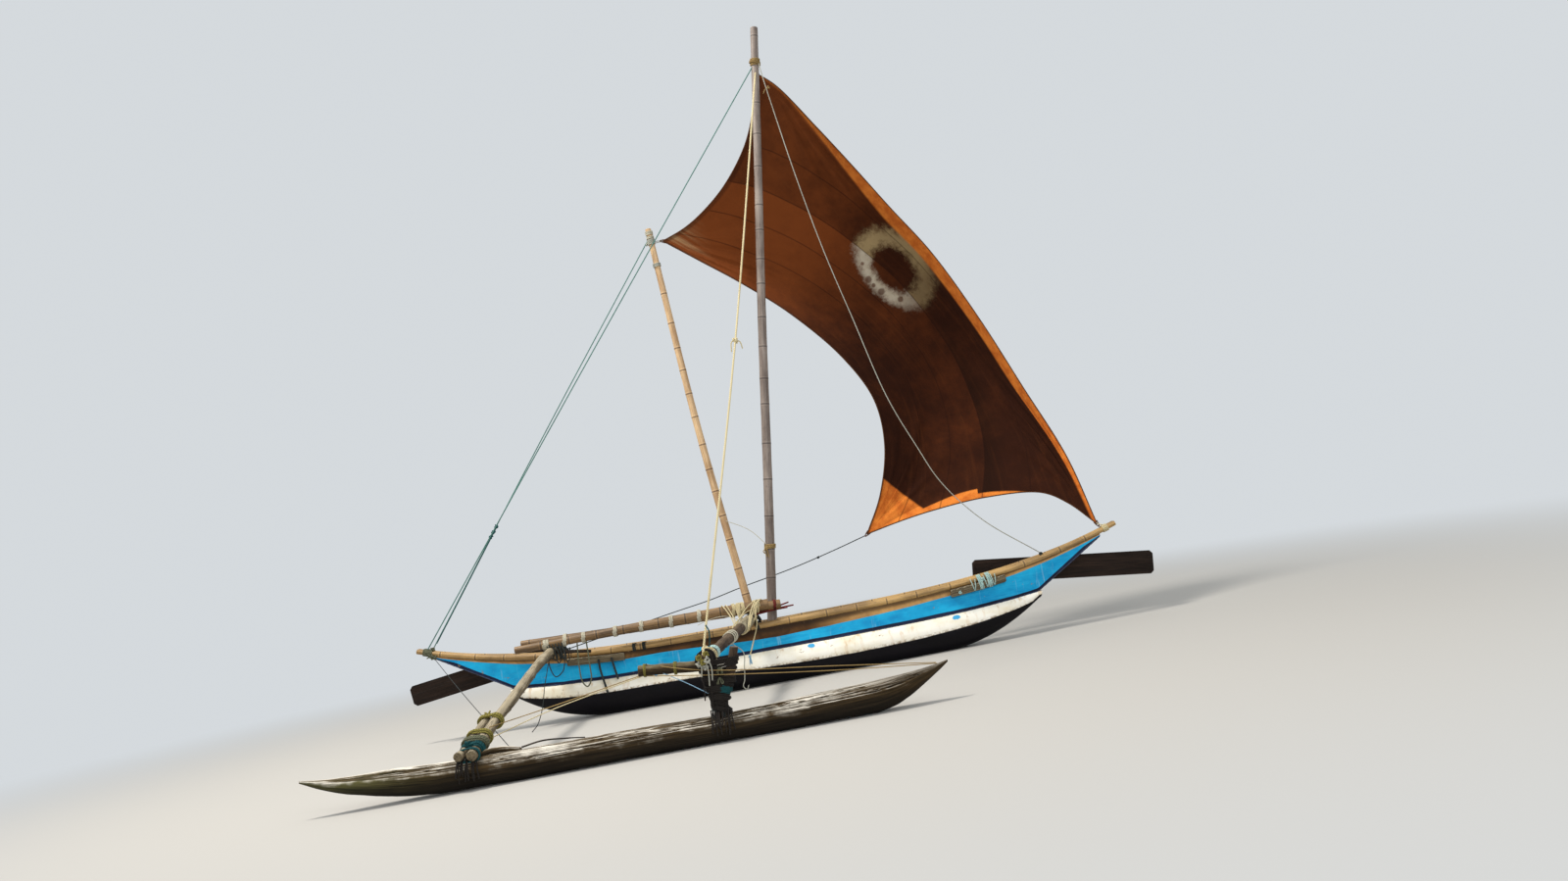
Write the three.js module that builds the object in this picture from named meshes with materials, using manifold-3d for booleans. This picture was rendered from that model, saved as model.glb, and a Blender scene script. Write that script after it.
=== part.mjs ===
// Double-ended sailing outrigger canoe, as it stands on a beach with its sail set.
// Millimetres. +X runs to the bow, +Y to port and +Z up. The origin is on the flat of the keel
// amidships, and both the hull and the outrigger float stand on z = 0.
import * as THREE from 'three';
import { mergeVertices } from 'three/addons/utils/BufferGeometryUtils.js';
import Module from 'manifold-3d';

const wasm = await Module();
wasm.setup();

// Driving dimensions
const GAP = 0.3; // between pieces that touch
const SEAT = 6; // how deep a pole is notched over the one that carries it

const BASE = {
  end: 2970, // half length of the dugout base
  halfBeam: 290, // at its widest, amidships
  endHalfBeam: 70,
  flatRun: 1850, // half length of the straight keel
  rise: { bow: 385, stern: 360 }, // of the keel at the ends
  risePower: { bow: 1.9, stern: 2.2 },
  nose: 40, // how far the pointed end runs on past the strakes' corner
  seam: 375, // height of its top edge amidships
  seamRise: 85, // of the top edge at the ends
  keelAngle: 24, // degrees, where the flat of the keel meets the bilge
  edgeAngle: 130, // degrees, where the rounded side meets the strake
  wall: 32,
  floor: 45,
  hollowEnd: 2650, // half length of the hollow
  scarfs: [-1300, -105, 1300], // where its logs meet: under the thwarts and under the mast step
};
const STRAKE = {
  thick: 28,
  tip: 3780, // half length at the tips
  tipZ: 940, // height of the lower edge at the tips
  tipHalf: 46, // half width over the strakes at the tips
  topHalf: 200, // half width over the strakes at the rails, amidships
  butts: [-2450, -1400, 1400, 2450], // where its planks meet end to end
  fairEnd: 3500, // where the top edges have closed to the tip width
};
const RAIL = { end: 3975, z: 655, rise: 400, power: 3.3, radius: 35, endRadius: 28 };
const FLOAT = { y: -3690, halfWidth: 130, cutBelow: 4 };
const BOOM = { sternX: -2450, bowX: -250, radius: 55, endRadius: 48, portEnd: 330 };
const MAST = { foot: [-105, 0, 155], radius: 56, topRadius: 45 };
const SPRIT = { foot: [-248, 30], radius: 46, topRadius: 35 };
const BOARD = { pivotX: 2750, innerY: 190, thick: 28, slope: 7.2 };
const BOARD_CUT = { // each board's reach inboard and outboard of its peg, and its width
  bow: { inner: 435, outer: 1640, width: 265 },
  stern: { inner: 230, outer: 1430, width: 230 },
};
const PEG = { radius: 18, hole: 18.8, drop: 52, head: 30, headThick: 14 };
const THWART = { x: 1350, width: 210, thick: 26, z: 545 };
const OAR_BLOCK = { middle: { bow: 2300, stern: -2010 }, reach: 320, height: 84, depth: 52 };
const UNDER_RAIL = RAIL.radius + 4; // from the rail's middle down to a block's top

// Colours and finishes
const finish = (color, roughness) => new THREE.MeshStandardMaterial({ color, roughness, metalness: 0 });
const FINISH = {
  paint: finish(0x2f9fd0, 0.45),
  timber: finish(0x5a4632, 0.85),
  greyTimber: finish(0x8a8172, 0.9),
  bamboo: finish(0xb98a52, 0.6),
  paleBamboo: finish(0xc9a877, 0.65),
  sail: finish(0x8a3a1c, 0.9),
  rope: finish(0xcbb98e, 0.9),
  darkRope: finish(0x38403a, 0.95),
  netting: finish(0x2f6f66, 0.95),
};

const group = new THREE.Group();
const deg = THREE.MathUtils.degToRad;
const lerp = THREE.MathUtils.lerp;
const vec = (x, y, z) => new THREE.Vector3(x, y, z);
const spread = (from, to, steps) => Array.from({ length: steps + 1 }, (_, i) => lerp(from, to, i / steps));

function add(name, geometry, material) {
  geometry.computeVertexNormals();
  const mesh = new THREE.Mesh(geometry, material);
  mesh.name = name;
  group.add(mesh);
  return mesh;
}

// Closed solid through rings of equal length, each end closed by a fan to the ring's middle
function loft(rings) {
  const size = rings[0].length;
  const middle = (ring) => ring.reduce((sum, p) => sum.add(p), vec(0, 0, 0)).divideScalar(size);
  const points = [...rings.flat(), middle(rings[0]), middle(rings[rings.length - 1])];
  const first = rings.length * size;
  const faces = [];
  for (let r = 0; r + 1 < rings.length; r += 1) {
    for (let i = 0; i < size; i += 1) {
      const a = r * size + i;
      const b = r * size + ((i + 1) % size);
      faces.push(a, b, b + size, a, b + size, a + size);
    }
  }
  const last = first - size;
  for (let i = 0; i < size; i += 1) {
    const j = (i + 1) % size;
    faces.push(first, j, i, first + 1, last + i, last + j);
  }
  return outward(points, faces);
}

// Cloth of even thickness over a grid of points
function sheet(rows, thick) {
  const [height, width] = [rows.length, rows[0].length];
  const near = (list, k) => list[Math.min(list.length - 1, Math.max(0, k))];
  const front = rows.flat();
  const back = rows.flatMap((row, r) => row.map((p, c) => {
    const down = near(rows, r + 1)[c].clone().sub(near(rows, r - 1)[c]);
    const along = near(row, c + 1).clone().sub(near(row, c - 1));
    return p.clone().addScaledVector(along.cross(down).normalize(), thick);
  }));
  const at = (r, c) => r * width + c;
  const faces = [];
  for (let r = 0; r + 1 < height; r += 1) {
    for (let c = 0; c + 1 < width; c += 1) {
      const [a, b, d, e] = [at(r, c), at(r, c + 1), at(r + 1, c), at(r + 1, c + 1)];
      faces.push(a, b, e, a, e, d, ...[e, b, a, d, e, a].map((i) => i + front.length));
    }
  }
  const count = (to) => Array.from({ length: to }, (_, k) => k);
  const [bottom, right] = [height - 1, width - 1];
  const rim = [...count(right).map((c) => at(0, c)), ...count(bottom).map((r) => at(r, right)),
    ...count(right).map((c) => at(bottom, right - c)), ...count(bottom).map((r) => at(bottom - r, 0))];
  rim.forEach((i, k) => {
    const j = rim[(k + 1) % rim.length];
    faces.push(j, i, i + front.length, j, i + front.length, j + front.length);
  });
  return outward([...front, ...back], faces);
}

// The faces are turned to point out of the solid.
function outward(points, faces) {
  let volume = 0;
  for (let f = 0; f < faces.length; f += 3) {
    const [a, b, c] = [points[faces[f]], points[faces[f + 1]], points[faces[f + 2]]];
    volume += a.dot(b.clone().cross(c));
  }
  const order = volume > 0 ? faces : faces.slice().reverse();
  const geometry = new THREE.BufferGeometry().setFromPoints(points);
  geometry.setIndex(order);
  return geometry;
}

// Round pole along a smooth curve, tapering from one radius to the other.
function pole(path, radius, endRadius, { sides = 12, steps = 10, grow = 0 } = {}) {
  const curve = new THREE.CatmullRomCurve3(path.map((p) => vec(...p)));
  const frames = curve.computeFrenetFrames(steps, false);
  const rings = spread(0, 1, steps).map((t, k) => {
    const centre = curve.getPointAt(t);
    const ends = k === 0 ? -grow : k === steps ? grow : 0;
    centre.addScaledVector(frames.tangents[k], ends);
    const r = lerp(radius, endRadius, t) + grow;
    return Array.from({ length: sides }, (_, i) => {
      const turn = (2 * Math.PI * (i + 0.5)) / sides;
      return centre.clone()
        .addScaledVector(frames.normals[k], r * Math.cos(turn))
        .addScaledVector(frames.binormals[k], r * Math.sin(turn));
    });
  });
  return loft(rings);
}

// Closed band of rope turns round an axis along X, Y or Z. Its hole is an oval, or squarer.
function band(axis, centre, across, up, thick, width, { sides = 20, square = 1 } = {}) {
  const section = [[0, -0.5], [0.7, -0.42], [1, 0], [0.7, 0.42], [0, 0.5]];
  const place = {
    x: (a, b, c) => vec(c, a, b),
    y: (a, b, c) => vec(a, c, b),
    z: (a, b, c) => vec(a, b, c),
  }[axis];
  const rings = Array.from({ length: sides }, (_, i) => {
    const turn = (2 * Math.PI * (i + 0.5)) / sides;
    const [c, s] = [Math.cos(turn), Math.sin(turn)].map((w) => Math.sign(w) * Math.abs(w) ** square);
    return section.map(([out, along]) => place(
      (across + out * thick) * c,
      (up + out * thick) * s,
      along * width,
    ).add(vec(...centre)));
  });
  const points = rings.flat();
  const faces = [];
  for (let r = 0; r < sides; r += 1) {
    for (let i = 0; i < section.length; i += 1) {
      const j = (i + 1) % section.length;
      const s = (r + 1) % sides;
      const [a, b, c, d] = [r * 5 + i, r * 5 + j, s * 5 + j, s * 5 + i];
      faces.push(a, b, c, a, c, d);
    }
  }
  return outward(points, faces);
}

// Box with its long edges cut off, lying along X.
function balk(centre, size, chamfer) {
  const [l, w, h] = size.map((s) => s / 2);
  const c = chamfer;
  const quarter = [[w, h - c], [w - c, h]];
  const half = [...quarter, ...quarter.map(([y, z]) => [-y, z]).reverse()];
  const outline = [...half, ...half.map(([y, z]) => [-y, -z])];
  return loft([-l, l].map((x) => outline.map(([y, z]) => vec(x, y, z).add(vec(...centre)))));
}

function solid(geometry) {
  const bare = geometry.clone();
  bare.deleteAttribute('normal');
  bare.deleteAttribute('uv');
  const merged = mergeVertices(bare, 1e-3);
  return new wasm.Manifold(new wasm.Mesh({
    numProp: 3,
    vertProperties: new Float32Array(merged.attributes.position.array),
    triVerts: new Uint32Array(merged.index.array),
  }));
}

function surface(manifold) {
  const mesh = manifold.getMesh();
  const geometry = new THREE.BufferGeometry();
  geometry.setAttribute('position', new THREE.BufferAttribute(new Float32Array(mesh.vertProperties), 3));
  geometry.setIndex(Array.from(mesh.triVerts));
  return geometry;
}

const cut = (geometry, ...tools) => surface(tools.reduce((s, t) => s.subtract(solid(t)), solid(geometry)));
const join = (geometry, ...more) => surface(more.reduce((s, t) => s.add(solid(t)), solid(geometry)));

// Lines of the hull: each is a height or half width at a distance x from amidships
const keelZ = (x) => {
  const end = x > 0 ? 'bow' : 'stern';
  const run = Math.max(0, Math.abs(x) - BASE.flatRun) / (BASE.end - BASE.flatRun);
  return BASE.rise[end] * run ** BASE.risePower[end];
};
const seamZ = (x) => BASE.seam + BASE.seamRise * (Math.abs(x) / BASE.end) ** 4;
const baseHalf = (x) => lerp(BASE.halfBeam, BASE.endHalfBeam, (Math.abs(x) / BASE.end) ** 2.6);
const edgeHalf = (x) => baseHalf(x) * Math.sin(deg(BASE.edgeAngle));
const railZ = (x) => RAIL.z + RAIL.rise * (Math.abs(x) / RAIL.end) ** RAIL.power;
const railRadius = (x) => lerp(RAIL.radius, RAIL.endRadius, (Math.abs(x) / RAIL.end) ** 3);
const topHalf = (x) => lerp(STRAKE.topHalf, STRAKE.tipHalf, Math.min(1, Math.abs(x) / STRAKE.fairEnd) ** 2.4);
const railY = (x) => topHalf(x) - STRAKE.thick / 2;
const pastBase = (x) => Math.max(0, (Math.abs(x) - BASE.end) / (STRAKE.tip - BASE.end));
const lowZ = (x) => (pastBase(x) > 0 ? lerp(seamZ(BASE.end), STRAKE.tipZ, pastBase(x)) : seamZ(x)) + GAP;
const lowHalf = (x) => {
  const past = pastBase(x);
  return past > 0 ? lerp(edgeHalf(BASE.end), STRAKE.tipHalf, past) : edgeHalf(x) - 2;
};
const strakeTop = (x) => railZ(x) - railRadius(x) + SEAT;
const strakeOuter = (x, z) => {
  const share = (z - lowZ(x)) / (strakeTop(x) - lowZ(x));
  return lerp(lowHalf(x), topHalf(x), share);
};

// Frames of the hull, so that the base, the strakes and the stems meet along one line
const baseFrames = spread(-BASE.end, BASE.end, 32);
const tipFrames = spread(BASE.end, STRAKE.tip, 6).slice(1);
const strakeFrames = [...tipFrames.map((x) => -x).reverse(), ...baseFrames, ...tipFrames];

// Dugout base: a log, flat under the keel and rounded in above its bilge
function baseSection(x, inset, bottom, top) {
  const [a0, a1] = [deg(BASE.keelAngle), deg(BASE.edgeAngle)];
  const side = spread(a0, a1, 8).map((a) => {
    const share = (Math.cos(a0) - Math.cos(a)) / (Math.cos(a0) - Math.cos(a1));
    return [(baseHalf(x) - inset) * Math.sin(a), lerp(bottom, seamZ(x), share)];
  });
  if (top > seamZ(x)) side.push([side[side.length - 1][0], top]);
  const mirror = side.slice().reverse().map(([y, z]) => [-y, z]);
  return [...side, ...mirror].map(([y, z]) => vec(x, y, z));
}

function hullBase() {
  const nose = BASE.end + BASE.nose;
  const noseRing = (x) => baseSection(x, 10, seamZ(BASE.end) - 16, seamZ(BASE.end));
  const along = baseFrames.map((x) => baseSection(x, 0, keelZ(x), seamZ(x)));
  const outer = [noseRing(-nose), ...along, noseRing(nose)];
  const inner = spread(-BASE.hollowEnd, BASE.hollowEnd, 22)
    .map((x) => baseSection(x, BASE.wall, keelZ(x) + BASE.floor, seamZ(x) + 60));
  return cut(loft(outer), loft(inner));
}

// Strake: one plank a side from the base's edge up to the rail, raking out past the base
function strake(side, grow = 0) {
  const rows = [0, 0.5, 1];
  return loft(strakeFrames.map((x, i) => {
    const end = i === 0 ? -grow : i === strakeFrames.length - 1 ? grow : 0;
    const at = (row, inset) => {
      const z = lerp(lowZ(x) - grow, strakeTop(x) + grow, row);
      return vec(x + end, side * (strakeOuter(x, z) - inset), z);
    };
    const inside = rows.slice().reverse().map((row) => at(row, STRAKE.thick + grow));
    return [...rows.map((row) => at(row, -grow)), ...inside];
  }));
}

const strakeCutters = [strake(1, GAP), strake(-1, GAP)];

// Stem: the wedge between the strakes at each end
function stem(end) {
  const inset = STRAKE.thick - 3;
  const frames = [...baseFrames.slice(-2), ...tipFrames.slice(0, -1), STRAKE.tip - 12];
  const wedge = loft(frames.map((x) => {
    const [z0, z1] = [lowZ(x) + 6, strakeTop(x) - 30];
    const [w0, w1] = [strakeOuter(x, z0) - inset, strakeOuter(x, z1) - inset];
    return [vec(end * x, w0, z0), vec(end * x, w1, z1), vec(end * x, -w1, z1), vec(end * x, -w0, z0)];
  }));
  return cut(wedge, ...strakeCutters);
}

function rail(side, grow = 0) {
  const rings = spread(-RAIL.end, RAIL.end, 28).map((x, k) => {
    const end = k === 0 ? -grow : k === 28 ? grow : 0;
    const r = railRadius(x) + grow;
    return Array.from({ length: 12 }, (_, i) => {
      const turn = (2 * Math.PI * (i + 0.5)) / 12;
      return vec(x + end, side * railY(x) + r * Math.cos(turn), railZ(x) + r * Math.sin(turn));
    });
  });
  return loft(rings);
}

// Thwart: a seat board between the strakes
function thwart(x, width, thick, z) {
  const reach = STRAKE.thick - 3;
  const seat = loft([x - width / 2, x, x + width / 2].map((at) => {
    const [w0, w1] = [strakeOuter(at, z) - reach, strakeOuter(at, z + thick) - reach];
    return [vec(at, w0, z), vec(at, w1, z + thick), vec(at, -w1, z + thick), vec(at, -w0, z)];
  }));
  return cut(seat, ...strakeCutters);
}

// Block against the outside of a strake, under the rail, out to a depth or to a flat face
function sideBlock(side, x0, x1, top, height, depth, faceY = 0) {
  const block = loft(spread(x0, x1, 4).map((x) => {
    const z1 = railZ(x) - top;
    const z0 = z1 - height;
    const [i0, i1] = [strakeOuter(x, z0) - 3, strakeOuter(x, z1) - 3];
    const [o0, o1] = faceY ? [faceY, faceY] : [i0 + depth, i1 + depth];
    return [vec(x, side * i0, z0), vec(x, side * i1, z1), vec(x, side * o1, z1), vec(x, side * o0, z0)];
  }));
  return cut(block, ...strakeCutters);
}

// Outrigger float: a log with raised points, flat where it lies on the beach
const floatStations = [
  // x, bottom, top, halfWidth
  [-3980, 292, 312, 12], [-3800, 205, 292, 48], [-3560, 125, 280, 82], [-3230, 52, 272, 110],
  [-2850, 0, 254, 124], [-2300, 0, 246, 128], [-1400, 0, 232, 126], [-528, 0, 224, 124],
  [400, 0, 246, 126], [740, 0, 258, 126], [930, 45, 268, 112], [1120, 140, 282, 82], [1270, 232, 298, 46],
  [1370, 300, 318, 12],
];
function floatLog(grow = 0) {
  const sides = 16;
  return loft(floatStations.map(([x, bottom, top, half], k) => {
    const end = k === 0 ? -grow : k === floatStations.length - 1 ? grow : 0;
    const low = bottom === 0 ? bottom - FLOAT.cutBelow : bottom;
    const [centre, r] = [(top + low) / 2, (top - low) / 2 + grow];
    return Array.from({ length: sides }, (_, i) => {
      const turn = (2 * Math.PI * (i + 0.5)) / sides;
      const z = Math.max(centre + r * Math.sin(turn), bottom === 0 ? -grow : -Infinity);
      return vec(x + end, FLOAT.y + (half + grow) * Math.cos(turn), z);
    });
  }));
}
const floatTop = { boom: 249, fork: 224 };

// Booms: the natural crook aft, and the straight spar by the mast
const boomOnRail = (x) => railZ(x) + railRadius(x) + BOOM.radius - SEAT;
const sternBoomPath = [
  [BOOM.sternX, BOOM.portEnd, boomOnRail(BOOM.sternX) + 6],
  [BOOM.sternX, 0, boomOnRail(BOOM.sternX)],
  [-2448, -790, 769], [-2446, -1320, 714], [-2446, -1830, 645], [-2448, -2310, 579],
  [-2456, -2650, 528], [-2472, -3050, 466], [-2500, -3370, 388],
  [-2540, FLOAT.y, floatTop.boom + BOOM.endRadius - SEAT], [-2546, FLOAT.y - 130, floatTop.boom + 22],
];
const sternBoomPole = (grow = 0) => (
  pole(sternBoomPath, BOOM.radius, BOOM.endRadius, { steps: 18, grow })
);

const bowBoomEnd = [-592, FLOAT.y - 120, 676];
const bowBoomPath = [
  [BOOM.bowX + 30, BOOM.portEnd, boomOnRail(BOOM.bowX)],
  [BOOM.bowX, 0, boomOnRail(BOOM.bowX)],
  [-400, -1850, 716], bowBoomEnd,
];
const bowBoomPole = (grow = 0, extra = 0) => (
  pole(bowBoomPath, BOOM.radius + extra, BOOM.endRadius + extra, { steps: 12, grow })
);

const rails = [rail(1, GAP), rail(-1, GAP)];
const floatCutter = floatLog(GAP);

// Cuts a long shape crosswise at the joints, from stern to bow
function addLengths(name, shape, joints, ends) {
  const whole = solid(shape);
  ends.forEach((end, i) => {
    const from = i > 0 ? joints[i - 1] + GAP : -RAIL.end;
    const to = i < joints.length ? joints[i] : RAIL.end;
    const span = balk([(from + to) / 2, 0, 500], [to - from, 900, 1200], 5);
    add(`${name}_${end}`, surface(whole.intersect(solid(span))), FINISH.paint);
  });
}
addLengths('hull_base', hullBase(), BASE.scarfs, ['stern', 'mid_stern', 'mid_bow', 'bow']);
for (const [name, side] of [['port', 1], ['starboard', -1]]) {
  addLengths(`strake_${name}`, strake(side), STRAKE.butts, ['stern_tip', 'stern', 'mid', 'bow', 'bow_tip']);
  add(`rail_${name}`, cut(rail(side), ...strakeCutters), FINISH.paleBamboo);
}
for (const [name, end] of [['bow', 1], ['stern', -1]]) {
  add(`stem_${name}`, stem(end), FINISH.timber);
  add(`thwart_${name}`, thwart(end * THWART.x, THWART.width, THWART.thick, THWART.z), FINISH.greyTimber);
  const { middle, reach, height, depth } = OAR_BLOCK;
  const block = sideBlock(-1, middle[name] - reach, middle[name] + reach, UNDER_RAIL, height, depth);
  add(`oar_block_${name}`, block, FINISH.greyTimber);
}
const step = { bottom: BASE.floor + GAP, top: MAST.foot[2] - MAST.radius - 0.5, long: 420, wide: 186 };
add('mast_step', balk([MAST.foot[0], 0, (step.bottom + step.top) / 2],
  [step.long, step.wide, step.top - step.bottom], 12), FINISH.timber);

// Floats and booms
const cleatPath = [[-2520, 240], [-2440, 262], [-2300, 262], [-2190, 238]].map(([x, z]) => [x, FLOAT.y, z]);
const cleat = pole(cleatPath, 30, 22, { sides: 8, steps: 6 });
add('float', join(floatLog(), cut(cleat, sternBoomPole(GAP))), FINISH.timber);
add('boom_stern', cut(sternBoomPole(), ...rails, floatCutter), FINISH.greyTimber);
add('boom_bow', cut(bowBoomPole(), ...rails), FINISH.timber);

// Splint: a short pole lashed along the outer end of the stern boom
const splintOffset = BOOM.endRadius + 40;
const splintPath = sternBoomPath.slice(7)
  .map(([x, y, z], i) => [x - splintOffset - 4 * i, y - 30, Math.max(z, floatTop.boom + 36)]);
const splintPole = (grow = 0) => pole(splintPath, 40, 42, { sides: 10, steps: 8, grow });
add('boom_splint', cut(splintPole(), sternBoomPole(GAP), floatCutter), FINISH.greyTimber);

// Fork: a natural crook standing on the float, whose aft arm carries the end of the bow boom
const onFloat = (list) => list.map(([x, z]) => [x, FLOAT.y, z]);
const forkStem = onFloat([[-528, floatTop.fork - 14], [-520, 330], [-552, 470], [-582, 648]]);
const forkArm = onFloat([[-520, 290], [-486, 380], [-405, 520], [-330, 738]]);
const forkPoles = (grow = 0) => [
  pole(forkStem, 58, 42, { sides: 10, steps: 7, grow }),
  pole(forkArm, 50, 36, { sides: 10, steps: 7, grow }),
];
add('fork', cut(join(...forkPoles()), floatCutter, bowBoomPole(GAP)), FINISH.timber);
const barY = FLOAT.y + 94;
const bar = pole([[-1146, barY, 676], [-800, barY, 640], [-500, barY, 606]], 48, 44, { sides: 10, steps: 5 });
add('fork_bar', cut(bar, bowBoomPole(GAP)), FINISH.timber);

// Spare spars lying along the hull on both booms
const wrapThick = 14;
const WRAP = { from: -226, to: -1180 }; // along Y
const frontPath = [[-2822, -404, 884], [-1400, -335, 892], [-32, -272, 876]];
const backPath = [[-2762, -326, 933], [-1400, -228, 876], [100, -142, 848]];
const frontPole = (grow = 0) => pole(frontPath, 42, 61, { sides: 12, steps: 12, grow });
const backPole = (grow = 0) => pole(backPath, 42, 54, { sides: 12, steps: 12, grow });
const wrapTool = bowBoomPole(GAP, wrapThick);
const wrapSpan = balk([-330, (WRAP.from + WRAP.to) / 2, 730], [500, WRAP.from - WRAP.to, 300], 5);
const wrapSleeve = surface(solid(bowBoomPole(0, wrapThick)).intersect(solid(wrapSpan)));
add('boom_wrap', cut(wrapSleeve, bowBoomPole(GAP), ...rails), FINISH.rope);
add('spar_front', cut(frontPole(), sternBoomPole(GAP), wrapTool), FINISH.bamboo);
add('spar_back', cut(backPole(), sternBoomPole(GAP), bowBoomPole(GAP), frontPole(GAP), wrapTool),
  FINISH.bamboo);

// Lashings: rope turns that hold the rail tips, the booms and the fork
const tipX = 3856;
const tipRadius = railRadius(tipX);
const tipWidth = { 1: 62, [-1]: 100 };
const tipBand = (end, grow = 0) => band('x', [end * tipX, 0, railZ(tipX)], railY(tipX) + tipRadius + 1 - grow,
  tipRadius + 2 - grow, 13 + 2 * grow, tipWidth[end] + 2 * grow, { square: 0.6 });
add('tip_lashing_bow', cut(tipBand(1), ...rails), FINISH.rope);
add('tip_lashing_stern', cut(tipBand(-1), ...rails), FINISH.darkRope);
const boomAt = (y) => {
  const next = sternBoomPath.findIndex((p) => p[1] < y);
  const [p, q] = [sternBoomPath[next - 1], sternBoomPath[next]];
  const share = (y - p[1]) / (q[1] - p[1]);
  return vec(lerp(p[0], q[0], share), y, lerp(p[2], q[2], share));
};
const boomLashings = [
  // name, y, height of its middle over the boom's, half its height
  ['inner', -3140, 2, 48], ['outer', -3560, 8, 52],
];
for (const [name, y, up, tall] of boomLashings) {
  const { x, z } = boomAt(y);
  const turns = band('y', [x - splintOffset / 2, y, z + up], 44 + splintOffset / 2, tall, 22, 60);
  add(`boom_lashing_${name}`, cut(turns, sternBoomPole(GAP), splintPole(GAP), floatCutter), FINISH.rope);
}
const forkTurns = band('z', [-528, FLOAT.y, 300], 50, 50, 26, 70);
add('fork_lashing', cut(forkTurns, floatCutter, ...forkPoles(GAP)), FINISH.netting);

// Thole blocks on the port side, each with the peg that a steering board turns on
const pegZ = railZ(BOARD.pivotX) - RAIL.radius - PEG.drop;
function rod(y0, y1, radius, x, z, sides = 16) {
  return loft([y0, y1].map((y) => Array.from({ length: sides }, (_, i) => {
    const turn = (2 * Math.PI * i) / sides;
    return vec(x + radius * Math.cos(turn), y, z + radius * Math.sin(turn));
  })));
}
function thole(end) {
  const x = end * BOARD.pivotX;
  const face = BOARD.innerY - 5;
  const block = sideBlock(1, x - 75, x + 75, UNDER_RAIL, 96, 0, face);
  const outer = BOARD.innerY + BOARD.thick + 5;
  const peg = rod(face - 40, outer + 4, PEG.radius, x, pegZ);
  return join(block, peg, rod(outer, outer + PEG.headThick, PEG.head, x, pegZ));
}

// Steering board: a plank with clipped corners, hung on the peg near its inner end
function board({ inner, outer, width }) {
  const low = -width / 2 + PEG.drop;
  const [x0, x1, z0, z1, clip] = [-inner, outer, low, low + width, 34];
  const corners = [
    [x0, z0], [x1 - clip, z0], [x1, z0 + clip], [x1, z1 - clip],
    [x1 - clip, z1], [x0 + clip, z1], [x0, z1 - clip],
  ];
  const outline = new THREE.Shape(corners.map((p) => new THREE.Vector2(...p)));
  outline.holes.push(new THREE.Path().absarc(0, 0, PEG.hole, 0, 2 * Math.PI, true));
  const flat = { depth: BOARD.thick, bevelEnabled: false, curveSegments: 24 };
  const plank = new THREE.ExtrudeGeometry(outline, flat);
  return plank.rotateX(Math.PI / 2).translate(0, BOARD.thick, 0);
}
for (const [name, end] of [['bow', 1], ['stern', -1]]) {
  add(`thole_${name}`, thole(end), FINISH.timber);
  const plank = board(BOARD_CUT[name]);
  const shaped = end > 0 ? plank : surface(solid(plank).mirror([1, 0, 0]));
  const mesh = add(`steering_board_${name}`, shaped, FINISH.timber);
  mesh.position.set(end * BOARD.pivotX, BOARD.innerY, pegZ);
  mesh.rotation.y = end * deg(BOARD.slope);
}

// Mast: stepped on the hull's floor on a rounded foot, raked forward and a little bowed
const mastPath = [MAST.foot, [-20, 0, 700], [175, 0, 2000], [480, 0, 4100], [760, 0, 5900], [1000, 0, 7480]];
const mastAt = (z) => {
  const curve = new THREE.CatmullRomCurve3(mastPath.map((p) => vec(...p)));
  const nearer = (a, b) => (Math.abs(b.z - z) < Math.abs(a.z - z) ? b : a);
  return spread(0, 1, 400).map((t) => curve.getPoint(t)).reduce(nearer);
};
const ball = (centre, radius) => new THREE.SphereGeometry(radius, 16, 12).translate(...centre);
const mastPole = (grow = 0) => pole(mastPath, MAST.radius, MAST.topRadius, { sides: 14, steps: 20, grow });
add('mast', join(mastPole(), ball(MAST.foot, MAST.radius)), FINISH.greyTimber);
const headZ = 7060;
const head = mastAt(headZ);
const headBand = (grow = 0) => band('z', [head.x, 0, headZ], 44, 44, 16 + 2 * grow, 80 + 2 * grow);
add('masthead_lashing', cut(headBand(), mastPole(GAP)), FINISH.rope);

// Sprit: stands on the bow boom and leans aft to spread the sail's peak
const spritFoot = [SPRIT.foot[0], SPRIT.foot[1], boomOnRail(BOOM.bowX) + BOOM.radius + SPRIT.radius + 0.5];
const spritPath = [spritFoot, [-462, 30, 2900], [-632, 30, 5340]];
const spritPole = (grow = 0) => (
  pole(spritPath, SPRIT.radius, SPRIT.topRadius, { sides: 12, steps: 10, grow })
);
add('sprit', join(spritPole(), ball(spritFoot, SPRIT.radius)), FINISH.bamboo);

// Sail: a curved patch between four edges, bellied out to port
const edge = (points) => new THREE.CatmullRomCurve3(points.map((p) => vec(...p)), false, 'centripetal');
const sailEdges = {
  luff: edge([[930, 45, 6955], [1140, 124, 6790], [1515, 240, 6275], [1865, 320, 5750], [2220, 370, 5180],
    [2600, 390, 4570], [2985, 360, 3720], [3330, 290, 2790], [3640, 170, 1900], [3790, 14, 1075]]),
  leech: edge([[-490, 84, 5185], [-83, 150, 4874], [294, 190, 4580], [822, 230, 4105], [1323, 260, 3499],
    [1590, 260, 2954], [1614, 240, 2419], [1448, 190, 1847], [1212, 130, 1432]]),
  top: edge([[-490, 84, 5185], [-210, 110, 5303], [46, 116, 5468], [341, 112, 5731], [640, 96, 6130],
    [810, 78, 6520], [930, 45, 6955]]),
  foot: edge([[1212, 130, 1432], [1594, 160, 1505], [2005, 180, 1562], [2642, 170, 1600], [3261, 110, 1538],
    [3520, 60, 1370], [3790, 14, 1075]]),
};
const BELLY = 700;
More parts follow.
